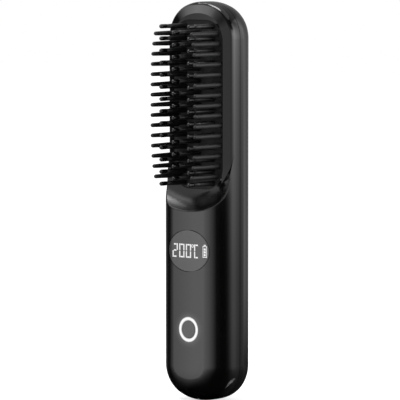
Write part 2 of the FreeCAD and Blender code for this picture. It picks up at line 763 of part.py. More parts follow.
def heater_pieces():
    """Heater plate, elements, film, clamp and the carrier that holds the stack to the front."""
    corner = bed_corner_radius - heater_plate_margin
    save("heater_plate", rounded_plate(heater_plate_half_width, plate_half_length, corner, field_height,
                                       flange_back, plate_back))
    elements = []
    step = ptc_length + ptc_gap
    half_x, half_z = ptc_width / 2, ptc_length / 2
    heights = [field_height + step * (i - (ptc_count - 1) / 2) for i in range(ptc_count)]
    for z in heights:
        elements.append(block(-half_x, half_x, plate_back, ptc_back, z - half_z, z + half_z))
    save("ptc_elements", Part.makeCompound(elements))
    stack_x = half_x + film_margin
    stack_z = stack_length / 2
    save("insulating_film", block(-stack_x, stack_x, ptc_back, film_back,
                                  field_height - stack_z, field_height + stack_z))
    save("heater_clamp", block(-stack_x, stack_x, film_back, clamp_back,
                               field_height - stack_z, field_height + stack_z))
    tray = rounded_plate(carrier_outer, carrier_half_length, corner + carrier_clearance + carrier_wall,
                         field_height, flange_back, carrier_back)
    hollow = rounded_plate(carrier_inner, plate_half_length + carrier_clearance, corner + carrier_clearance,
                           field_height, flange_back, clamp_back)
    ears = rounded_plate(carrier_screw_x + boss_radius, ear_reach, boss_radius, field_height,
                         clamp_back, carrier_back)
    lead_x = carrier_screw_x - boss_radius - wire_radius * 2
    lead_depth = plate_back + wire_radius
    notch_half = lead_x + wire_radius * 2
    sensor_x = (half_x + carrier_inner) / 2
    cuts = [screw_hole(x, z, clamp_back - overcut, carrier_back + overcut) for x, z in carrier_screw_places]
    notches = ((-notch_half, notch_half), (sensor_x - wire_radius * 2, sensor_x + wire_radius * 2))
    for x0, x1 in notches:
        cuts.append(block(x0, x1, flange_back, lead_depth + wire_radius * 2,
                          field_height - ear_reach, field_height - stack_z))
    save("heater_carrier", tray.cut(hollow).fuse(ears).removeSplitter().cut(cuts))
    save("carrier_screws", Part.makeCompound(
        [screw(x, z, carrier_back, False) for x, z in carrier_screw_places]
    ))
    sensor_z = (heights[0] + heights[1]) / 2
    bead_depth = plate_back + thermistor_radius
    bead = Part.makeCylinder(thermistor_radius, thermistor_length,
                             at(-thermistor_length / 2, bead_depth, sensor_z), ACROSS)
    save("thermistor", bead.makeFillet(thermistor_radius / 2, [e for e in bead.Edges if e.Closed]))
    fuse = Part.makeCylinder(fuse_radius, fuse_length,
                             at(-fuse_length / 2, carrier_back + fuse_radius, field_height), ACROSS)
    save("thermal_fuse", fuse)
    drop_z = (board_top + field_height - ear_reach) / 2
    run_depth = board_back + wire_radius
    end_z = board_top - wire_radius * 4
    element_end = heights[0] - half_z
    leads = [
        wire([at(s * lead_x, lead_depth, element_end), at(s * lead_x, lead_depth, drop_z),
              at(s * lead_x, run_depth, drop_z), at(s * lead_x, run_depth, end_z)])
        for s in (-1, 1)
    ]
    save("heater_leads", Part.makeCompound(leads))
    save("sensor_lead", wire([
        at(thermistor_length / 2, bead_depth, sensor_z), at(sensor_x, bead_depth, sensor_z),
        at(sensor_x, bead_depth, drop_z), at(sensor_x, run_depth, drop_z), at(sensor_x, run_depth, end_z),
    ]))


os.makedirs("parts", exist_ok=True)
save("front_shell", front_shell())
save("rear_shell", rear_shell())
display_pieces()
button_pieces()
electronics_pieces()
charging_pieces()
bristle_pieces()
heater_pieces()
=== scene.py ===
"""Looks of the cordless styling brush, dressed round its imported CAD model.

Lengths in the classes are millimetres in the CAD frame: Z runs up the brush and the bristles
face -Y. Meshes are made in metres.
"""

import json
import logging
import math
from dataclasses import dataclass
from enum import Enum
from typing import Any

import bpy
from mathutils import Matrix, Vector

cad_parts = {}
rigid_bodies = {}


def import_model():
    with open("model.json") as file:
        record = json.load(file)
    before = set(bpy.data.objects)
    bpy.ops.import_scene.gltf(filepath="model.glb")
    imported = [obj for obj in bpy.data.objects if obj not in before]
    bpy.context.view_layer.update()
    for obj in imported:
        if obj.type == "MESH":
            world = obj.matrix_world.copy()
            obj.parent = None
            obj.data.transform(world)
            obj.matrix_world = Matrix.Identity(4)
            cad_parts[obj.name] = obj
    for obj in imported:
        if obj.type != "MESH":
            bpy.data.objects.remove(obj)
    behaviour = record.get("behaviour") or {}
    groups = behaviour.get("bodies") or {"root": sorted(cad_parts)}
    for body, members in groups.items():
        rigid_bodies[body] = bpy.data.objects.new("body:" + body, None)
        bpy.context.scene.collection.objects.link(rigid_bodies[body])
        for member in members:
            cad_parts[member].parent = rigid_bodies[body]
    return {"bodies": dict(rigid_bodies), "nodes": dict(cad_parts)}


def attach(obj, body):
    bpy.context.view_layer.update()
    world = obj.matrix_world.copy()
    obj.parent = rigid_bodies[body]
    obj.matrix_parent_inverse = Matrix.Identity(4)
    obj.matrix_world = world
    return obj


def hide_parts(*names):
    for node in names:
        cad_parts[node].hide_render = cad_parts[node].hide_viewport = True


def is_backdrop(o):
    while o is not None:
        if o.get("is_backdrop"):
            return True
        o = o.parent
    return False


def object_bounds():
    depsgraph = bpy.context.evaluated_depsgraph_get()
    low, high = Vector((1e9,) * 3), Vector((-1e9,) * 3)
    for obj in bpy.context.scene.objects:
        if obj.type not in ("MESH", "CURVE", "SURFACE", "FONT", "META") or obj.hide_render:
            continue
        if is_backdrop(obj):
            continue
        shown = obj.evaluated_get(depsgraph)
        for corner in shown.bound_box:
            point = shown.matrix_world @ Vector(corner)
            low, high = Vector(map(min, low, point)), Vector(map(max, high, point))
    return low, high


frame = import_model()

LOG = logging.getLogger("styling_brush")
MM = 0.001
NOISE_ENDS = (0.3, 0.7)
PLASTIC_IOR = 1.5
WELD = 2e-6

Tone = tuple[float, float, float]
Span = tuple[float, float]


def grey(level: float) -> Tone:
    """Neutral tone of one linear level."""
    return (level, level, level)


class Grain(Enum):
    """Patterns that a finish can be mottled with."""

    CLOUDED = "clouded"
    DRAWN = "drawn"
    PEBBLED = "pebbled"


class Recipe:
    """Node graph of one finish, grown from its shader outwards."""

    def __init__(self, name: str) -> None:
        """Starts a material with a bare shader.

        Args:
            name: Name of the material.
        """
        self.material = bpy.data.materials.new(name)
        self.material.use_nodes = True
        self.tree = self.material.node_tree
        self.shader = self.tree.nodes["Principled BSDF"]
        self.place = self.node("ShaderNodeTexCoord").outputs["Object"]

    def node(self, kind: str, **settings: Any) -> bpy.types.Node:
        """Adds a node.

        Args:
            kind: Blender's type name of the node.
            settings: Properties to set on it.

        Returns:
            The new node.
        """
        made = self.tree.nodes.new(kind)
        for key, value in settings.items():
            setattr(made, key, value)
        return made

    def link(self, source: bpy.types.NodeSocket, target: bpy.types.NodeSocket) -> None:
        """Joins an output to an input."""
        self.tree.links.new(source, target)

    def fix(self, **values: Any) -> None:
        """Sets constant values on the shader's own sockets, spaces written as underscores."""
        for key, value in values.items():
            self.shader.inputs[key.replace("_", " ")].default_value = value

    def stretched(self, stretch: Tone) -> bpy.types.NodeSocket:
        """Object coordinates scaled along each axis.

        Args:
            stretch: Scale along X, Y and Z.

        Returns:
            Vector socket.
        """
        mapping = self.node("ShaderNodeMapping")
        mapping.inputs["Scale"].default_value = stretch
        self.link(self.place, mapping.inputs["Vector"])
        return mapping.outputs["Vector"]

    def noise(self, pitch: float, detail: float = 2.0, stretch: Tone = (1, 1, 1)) -> bpy.types.NodeSocket:
        """Clouded or streaked noise.

        Args:
            pitch: Size of the pattern in millimetres.
            detail: Octaves of finer noise.
            stretch: Scale along each axis; a small value draws the pattern out.

        Returns:
            Factor socket around 0.5.
        """
        made = self.node("ShaderNodeTexNoise")
        made.inputs["Scale"].default_value = 1 / (pitch * MM)
        made.inputs["Detail"].default_value = detail
        self.link(self.stretched(stretch), made.inputs["Vector"])
        return made.outputs["Fac"]

    def pebbles(self, pitch: float) -> bpy.types.NodeSocket:
        """Rounded cells.

        Args:
            pitch: Size of a cell in millimetres.

        Returns:
            Distance socket, low in the middle of a cell.
        """
        made = self.node("ShaderNodeTexVoronoi")
        made.inputs["Scale"].default_value = 1 / (pitch * MM)
        self.link(self.place, made.inputs["Vector"])
        return made.outputs["Distance"]

    def between(self, factor: bpy.types.NodeSocket, low: float, high: float,
                ends: Span = NOISE_ENDS) -> bpy.types.NodeSocket:
        """Spreads a factor over a range of numbers.

        Args:
            factor: Socket to spread.
            low: Value at the lower end.
            high: Value at the upper end.
            ends: Factor at each end.

        Returns:
            Value socket.
        """
        made = self.node("ShaderNodeMapRange")
        for key, value in zip(("From Min", "From Max", "To Min", "To Max"), (*ends, low, high)):
            made.inputs[key].default_value = value
        self.link(factor, made.inputs["Value"])
        return made.outputs["Result"]

    def ramp(self, factor: bpy.types.NodeSocket, stops: list[tuple[float, Tone]],
             smooth: str = "EASE") -> bpy.types.NodeSocket:
        """Colours along a factor.

        Args:
            factor: Socket that picks the place on the ramp.
            stops: Places and tones, in order.
            smooth: Blender's name of the interpolation.

        Returns:
            Colour socket.
        """
        made = self.node("ShaderNodeValToRGB")
        ramp = made.color_ramp
        ramp.interpolation = smooth
        while len(ramp.elements) < len(stops):
            ramp.elements.new(1.0)
        for element, (place, tone) in zip(ramp.elements, stops):
            element.position = place
            element.color = (*tone, 1.0)
        self.link(factor, made.inputs["Fac"])
        return made.outputs["Color"]

    def mottle(self, factor: bpy.types.NodeSocket, tones: tuple[Tone, Tone],
               ends: Span = NOISE_ENDS) -> None:
        """Mottles the shader's own colour.

        Args:
            factor: Socket that picks between the tones.
            tones: Darkest and lightest tone.
            ends: Factor at each tone.
        """
        colour = self.ramp(factor, list(zip(ends, tones)), "LINEAR")
        self.link(colour, self.shader.inputs["Base Color"])

    def axes(self) -> dict[str, bpy.types.NodeSocket]:
        """Splits the Object coordinates.

        Returns:
            Sockets X, Y and Z in metres.
        """
        split = self.node("ShaderNodeSeparateXYZ")
        self.link(self.place, split.inputs[0])
        return {axis: split.outputs[axis] for axis in "XYZ"}

    def maths(self, operation: str, first: Any, second: Any = 0.0) -> bpy.types.NodeSocket:
        """One step of arithmetic on sockets or plain numbers.

        Args:
            operation: Blender's name of the operation.
            first: First value.
            second: Second value.

        Returns:
            Value socket.
        """
        made = self.node("ShaderNodeMath", operation=operation)
        for socket, value in zip(made.inputs, (first, second)):
            if isinstance(value, bpy.types.NodeSocket):
                self.link(value, socket)
            else:
                socket.default_value = value
        return made.outputs["Value"]

    def relief(self, height: bpy.types.NodeSocket, depth: float) -> None:
        """Raises the surface by a height.

        Args:
            height: Factor socket.
            depth: Depth of the relief in millimetres.
        """
        made = self.node("ShaderNodeBump")
        made.inputs["Distance"].default_value = depth * MM
        self.link(height, made.inputs["Height"])
        self.link(made.outputs["Normal"], self.shader.inputs["Normal"])


@dataclass(frozen=True)
class Moulding:
    """Injection-moulded plastic, ceramic, foam or rubber.

    Attributes:
        name: Name of the finish.
        tones: Darkest and lightest colour of its mottling.
        roughness: Smoothest and roughest patch.
        pitch: Size of the mottling in millimetres.
        depth: Relief in millimetres.
        grain: Pattern of the mottling.
        coat: Weight of a clear top layer.
        shine: Strength of the surface's own reflection, 0.5 for plain plastic.
        coat_roughness: Roughness of the clear top layer.
        clouding: Size of the slow change of colour, in multiples of the pitch.
        drawn: Scale of a drawn pattern along each axis.
    """

    name: str
    tones: tuple[Tone, Tone]
    roughness: Span
    pitch: float = 1.0
    depth: float = 0.004
    grain: Grain = Grain.CLOUDED
    coat: float = 0.0
    shine: float = 0.5
    coat_roughness: float = 0.03
    clouding: float = 14.0
    drawn: Tone = (1.0, 1.0, 0.04)

    def material(self) -> bpy.types.Material:
        """Builds the node material.

        Returns:
            The material.
        """
        recipe = Recipe(self.name)
        if self.grain is Grain.PEBBLED:
            pattern = recipe.pebbles(self.pitch)
        elif self.grain is Grain.DRAWN:
            pattern = recipe.noise(self.pitch, 3.0, self.drawn)
        else:
            pattern = recipe.noise(self.pitch, 3.0)
        recipe.mottle(recipe.noise(self.pitch * self.clouding), self.tones)
        recipe.link(recipe.between(pattern, *self.roughness), recipe.shader.inputs["Roughness"])
        recipe.relief(pattern, self.depth)
        recipe.fix(Coat_Weight=self.coat, Coat_Roughness=self.coat_roughness)
        recipe.fix(IOR=PLASTIC_IOR, Specular_IOR_Level=self.shine)
        return recipe.material


@dataclass(frozen=True)
class Gloss:
    """High-gloss black moulding with the faint waviness of a polished tool.

    Attributes:
        name: Name of the finish.
        tones: Darkest and lightest colour.
        roughness: Smoothest and roughest patch.
        wave: Size of the surface's slow waves in millimetres.
        swell: Height of those waves in millimetres.
        haze: Size of the fine polishing haze in millimetres.
        barrel: Y and height of the sides' slight barrel shape, in millimetres.
        crown: How much the front falls away to its sides, per millimetre from the middle squared.
        satin: Lowest and highest Z in millimetres where faces that look up are satin, and their roughness.
        upward: Upward part of a face's normal where that satin starts and where it is full.
        halo: Z of a lit ring on the front, the radius where its painted glow on the plastic ends, and the
        strength of that painted glow.
        halo_core: Share of that radius inside which the painted glow is full.
        front: Y in millimetres where that painted glow is full and where it ends.
        drawn: Scale of the haze along each axis.
        haze_ends: Factor of the haze at its darkest and lightest colour.
    """

    name: str
    tones: tuple[Tone, Tone]
    roughness: Span
    wave: float = 9.0
    swell: float = 0.0012
    haze: float = 0.35
    barrel: tuple[Span, ...] = ()
    crown: float = 0.0
    satin: Tone | None = None
    upward: Span = (0.1, 0.4)
    halo: Tone | None = None
    halo_core: float = 0.6
    front: Span = (-6.5, -5.5)
    drawn: Tone = (1.0, 1.0, 0.18)
    haze_ends: Span = (0.25, 0.75)

    def material(self) -> bpy.types.Material:
        """Builds the node material.

        Returns:
            The material.
        """
        recipe = Recipe(self.name)
        waves = recipe.noise(self.wave, 1.0)
        haze = recipe.noise(self.haze, 4.0, self.drawn)
        recipe.mottle(haze, self.tones, self.haze_ends)
        rough = recipe.between(haze, *self.roughness)
        if self.satin:
            rough = recipe.maths("ADD", rough, self.satin_share(recipe))
        recipe.link(rough, recipe.shader.inputs["Roughness"])
        if self.barrel:
            waves = recipe.maths("ADD", waves, self.moulded_form(recipe))
        recipe.relief(waves, self.swell)
        recipe.fix(IOR=PLASTIC_IOR)
        # Painted glow: the shell emits light round the lit ring.
        if self.halo:
            recipe.fix(Emission_Color=(1, 1, 1, 1))
            recipe.link(self.halo_light(recipe), recipe.shader.inputs["Emission Strength"])
        return recipe.material

    def halo_light(self, recipe: Recipe) -> bpy.types.NodeSocket:
        """Painted glow: light that the shell itself emits on the front round a lit ring.

        Args:
            recipe: Graph to add to.

        Returns:
            Value socket.
        """
        height, reach, strength = self.halo
        where = recipe.axes()
        above = recipe.maths("SUBTRACT", where["Z"], height * MM)
        squares = recipe.maths("ADD", recipe.maths("MULTIPLY", where["X"], where["X"]),
                               recipe.maths("MULTIPLY", above, above))
        off = recipe.maths("SQRT", squares)
        share = recipe.between(off, 1.0, 0.0, (self.halo_core * reach * MM, reach * MM))
        front = recipe.between(where["Y"], strength, 0.0, (self.front[0] * MM, self.front[1] * MM))
        return recipe.maths("MULTIPLY", recipe.maths("MULTIPLY", share, share), front)

    def satin_share(self, recipe: Recipe) -> bpy.types.NodeSocket:
        """Roughness that the satin faces have on top of the gloss.

        Args:
            recipe: Graph to add to.

        Returns:
            Value socket.
        """
        low, high, roughness = self.satin
        height = recipe.axes()["Z"]
        facing = recipe.node("ShaderNodeSeparateXYZ")
        recipe.link(recipe.node("ShaderNodeNewGeometry").outputs["Normal"], facing.inputs[0])
        above = recipe.between(height, 0.0, 1.0, (low * MM, (low + 1) * MM))
        below = recipe.between(height, 1.0, 0.0, ((high - 1) * MM, high * MM))
        upward = recipe.between(facing.outputs["Z"], 0.0, roughness, self.upward)
        return recipe.maths("MULTIPLY", recipe.maths("MULTIPLY", above, below), upward)

    def moulded_form(self, recipe: Recipe) -> bpy.types.NodeSocket:
        """Height of the barrel shape and of the crown, in multiples of the swell.

        Args:
            recipe: Graph to add to.

        Returns:
            Value socket.
        """
        where = recipe.axes()
        low, high = self.barrel[0][0], self.barrel[-1][0]
        most = max(height for _, height in self.barrel)
        along = recipe.between(where["Y"], 0.0, 1.0, (low * MM, high * MM))
        stops = [((y - low) / (high - low), grey(height / most)) for y, height in self.barrel]
        rise = recipe.maths("MULTIPLY", recipe.ramp(along, stops, "B_SPLINE"), most / self.swell)
        square = recipe.maths("MULTIPLY", where["X"], where["X"])
        fall = recipe.maths("MULTIPLY", square, self.crown / (MM * MM * self.swell))
        return recipe.maths("SUBTRACT", rise, fall)


@dataclass(frozen=True)
class Worked:
    """Drawn, rolled or plated metal.

    Attributes:
        name: Name of the finish.
        tones: Darkest and lightest colour of the lay.
        roughness: Smoothest and roughest streak.
        stretch: Scale along each axis; a small value is the direction of the lay.
        pitch: Width of a streak in millimetres.
        depth: Relief of the lay in millimetres.
    """

    name: str
    tones: tuple[Tone, Tone]
    roughness: Span
    stretch: Tone = (1.0, 1.0, 0.05)
    pitch: float = 0.15
    depth: float = 0.002

    def material(self) -> bpy.types.Material:
        """Builds the node material.

        Returns:
            The material.
        """
        recipe = Recipe(self.name)
        lay = recipe.noise(self.pitch, 3.0, self.stretch)
        recipe.mottle(lay, self.tones)
        recipe.link(recipe.between(lay, *self.roughness), recipe.shader.inputs["Roughness"])
        recipe.relief(lay, self.depth)
        recipe.fix(Metallic=1.0)
        return recipe.material


@dataclass(frozen=True)
class Lit:
    """Milky diffuser with light behind it.

    Attributes:
        name: Name of the finish.
        body: Colour of the plastic itself.
        tones: Dimmest and brightest colour of the light.
        strength: Strength of the light.
        pitch: Size of the light's unevenness in millimetres.
        tube: Height of a ring-shaped lamp, its middle radius and half its width in millimetres.
        tube_ends: Factor of the light in the middle of that ring and at its edges.
        flicker: Most that the unevenness adds to that factor.
        roughness: Smoothest and roughest patch.
    """

    name: str
    body: Tone
    tones: tuple[Tone, Tone]
    strength: float
    pitch: float = 2.5
    tube: Tone | None = None
    tube_ends: Span = (0.74, 0.34)
    flicker: float = 0.04
    roughness: Span = (0.25, 0.4)

    def material(self) -> bpy.types.Material:
        """Builds the node material.

        Returns:
            The material.
        """
        recipe = Recipe(self.name)
        cloud = recipe.noise(self.pitch, 2.0)
        glow = self.tube_light(recipe, cloud) if self.tube else cloud
        colour = recipe.ramp(glow, list(zip(NOISE_ENDS, self.tones)), "LINEAR")
        recipe.link(colour, recipe.shader.inputs["Emission Color"])
        recipe.link(recipe.between(cloud, *self.roughness), recipe.shader.inputs["Roughness"])
        recipe.fix(Base_Color=(*self.body, 1.0), Emission_Strength=self.strength)
        return recipe.material

    def tube_light(self, recipe: Recipe, cloud: bpy.types.NodeSocket) -> bpy.types.NodeSocket:
        """Light that is brightest along the middle of a ring.

        Args:
            recipe: Graph to add to.
            cloud: Unevenness to mix in.

        Returns:
            Factor socket.
        """
        height, radius, half_width = self.tube
        where = recipe.axes()
        rise = recipe.maths("SUBTRACT", where["Z"], height * MM)
        squares = recipe.maths("ADD", recipe.maths("MULTIPLY", rise, rise),
                               recipe.maths("MULTIPLY", where["X"], where["X"]))
        off = recipe.maths("ABSOLUTE", recipe.maths("SUBTRACT", recipe.maths("SQRT", squares), radius * MM))
        bright = recipe.between(off, *self.tube_ends, (0.0, half_width * MM))
        return recipe.maths("ADD", bright, recipe.between(cloud, -self.flicker, self.flicker))


@dataclass(frozen=True)
class Laminate:
    """Printed circuit board with tracks under its solder mask.

    Attributes:
        name: Name of the finish.
        mask: Colour of the mask over bare laminate.
        track: Colour of the mask over copper.
        pitch: Spacing of the tracks in millimetres.
        track_width: Width of a track as a share of the pattern.
        track_height: Height of the tracks under the mask in millimetres.
        grain: Size of the mask's unevenness in millimetres.
        roughness: Smoothest and roughest patch of the mask.
    """

    name: str
    mask: Tone
    track: Tone
    pitch: float = 1.6
    track_width: float = 0.035
    track_height: float = 0.03
    grain: float = 0.3
    roughness: Span = (0.28, 0.4)

    def material(self) -> bpy.types.Material:
        """Builds the node material.

        Returns:
            The material.
        """
        recipe = Recipe(self.name)
        bricks = recipe.node("ShaderNodeTexBrick")
        bricks.inputs["Scale"].default_value = 1 / (self.pitch * 4 * MM)
        bricks.inputs["Mortar Size"].default_value = self.track_width
        bricks.inputs["Color1"].default_value = (0, 0, 0, 1)
        bricks.inputs["Color2"].default_value = (0.1, 0.1, 0.1, 1)
        bricks.inputs["Mortar"].default_value = (1, 1, 1, 1)
        turn = recipe.node("ShaderNodeMapping")
        turn.inputs["Rotation"].default_value = (math.radians(90), 0, 0)
        recipe.link(recipe.place, turn.inputs["Vector"])
        recipe.link(turn.outputs["Vector"], bricks.inputs["Vector"])
        recipe.mottle(bricks.outputs["Color"], (self.mask, self.track), (0.2, 0.6))
        uneven = recipe.noise(self.grain)
        recipe.link(recipe.between(uneven, *self.roughness), recipe.shader.inputs["Roughness"])
        recipe.relief(bricks.outputs["Color"], self.track_height)
        return recipe.material


def dress(node: str, finish: Any) -> None:
    """Gives a CAD node its finish.

    Args:
        node: Name of the node.
        finish: Finish whose material it takes.
    """
    material = finish.material()
    for slot in frame["nodes"][node].material_slots:
        slot.material = material
    LOG.info("%s: CAD solid in %s", node, finish.name)


class Sketch:
    """Geometry Nodes tree with named inputs, built step by step."""

    def __init__(self, name: str) -> None:
        """Starts an empty tree.

        Args:
            name: Name of the tree.
        """
        self.tree = bpy.data.node_groups.new(name, "GeometryNodeTree")
        self.tree.interface.new_socket("Geometry", in_out="OUTPUT", socket_type="NodeSocketGeometry")
        self.values: dict[str, Any] = {}
        self.inlet: bpy.types.Node | None = None

    def inputs(self, **values: Any) -> None:
        """Args:
            values: Whole number, length in metres or material for each input.
        """
        kinds = {int: "NodeSocketInt", float: "NodeSocketFloat"}
        for key, value in values.items():
            kind = kinds.get(type(value), "NodeSocketMaterial")
            socket = self.tree.interface.new_socket(key, in_out="INPUT", socket_type=kind)
            self.values[socket.identifier] = value
        self.inlet = self.tree.nodes.new("NodeGroupInput")

    def given(self, name: str) -> bpy.types.NodeSocket:
        """One of the tree's inputs."""
        return self.inlet.outputs[name]

    def node(self, kind: str, feeds: dict[str, Any] | None = None, **settings: Any) -> bpy.types.Node:
        """Adds a node and feeds its inputs.

        Args:
            kind: Blender's type name of the node.
            feeds: Sockets or values for its inputs by name.
            settings: Properties to set on it.

        Returns:
            The new node.
        """
        made = self.tree.nodes.new(kind)
        for key, value in settings.items():
            setattr(made, key, value)
        for key, value in (feeds or {}).items():
            self.feed(made.inputs[key], value)
        return made

    def feed(self, socket: bpy.types.NodeSocket, value: Any) -> None:
        """Links a socket, or sets a plain value on it.

        Args:
            socket: Input to feed.
            value: Output socket or plain value.
        """
        if isinstance(value, bpy.types.NodeSocket):
            self.tree.links.new(value, socket)
        else:
            socket.default_value = value

    def maths(self, operation: str, first: Any, second: Any = 0.0) -> bpy.types.NodeSocket:
        """One step of arithmetic on sockets or plain numbers.

        Args:
            operation: Blender's name of the operation.
            first: First value.
            second: Second value.

        Returns:
            Value socket.
        """
        made = self.node("ShaderNodeMath", operation=operation)
        self.feed(made.inputs[0], first)
        self.feed(made.inputs[1], second)
        return made.outputs[0]

    def piece(self, name: str, last: bpy.types.NodeSocket, material: str) -> bpy.types.Object:
        """Closes the tree and turns its result into a plain mesh object.

        Args:
            name: Name of the object.
            last: Geometry socket to realize.
            material: Name of the input that holds the material.

        Returns:
            Object at the origin with the mesh.
        """
        smooth = self.node("GeometryNodeSetShadeSmooth", {"Geometry": last})
        real = self.node("GeometryNodeRealizeInstances", {"Geometry": smooth.outputs[0]})
        merged = self.node("GeometryNodeMergeByDistance",
                           {"Geometry": real.outputs[0], "Distance": WELD})
        final = self.node("GeometryNodeSetMaterial",
                          {"Geometry": merged.outputs[0], "Material": self.given(material)})
        outlet = self.tree.nodes.new("NodeGroupOutput")
        self.tree.links.new(final.outputs[0], outlet.inputs[0])
        made = bpy.data.objects.new(name, bpy.data.meshes.new(name))
        bpy.context.scene.collection.objects.link(made)
        modifier = made.modifiers.new("tree", "NODES")
        modifier.node_group = self.tree
        for identifier, value in self.values.items():
            modifier[identifier] = value
        shown = made.evaluated_get(bpy.context.evaluated_depsgraph_get())
        mesh = bpy.data.meshes.new_from_object(shown)
        made.modifiers.remove(modifier)
        made.data = mesh
        mesh.name = name
        return made


@dataclass
class Pin:
    """Turned outline of one bristle, tooth or tip, along -Y from its root.

    Attributes:
        start: Y of the root end.
        stations: Distance from the root and radius of each ring, in order.
    """

    start: float
    stations: list[Span]

    @property
    def length(self) -> float:
        """Length from the root to the end."""
        return self.stations[-1][0]

    @property
    def girth(self) -> float:
        """Largest radius."""
        return max(radius for _, radius in self.stations)

    @staticmethod
    def dome(along: float, radius: float, rings: int = 5) -> list[Span]:
        """Rings of a round end.

        Args:
            along: Distance at which the dome starts.
            radius: Radius there.
            rings: Number of rings.

        Returns:
            Stations that end on the axis.
        """
        turns = [math.pi / 2 * i / rings for i in range(1, rings + 1)]
        return [(along + radius * math.sin(t), max(radius * math.cos(t), 0.0)) for t in turns]


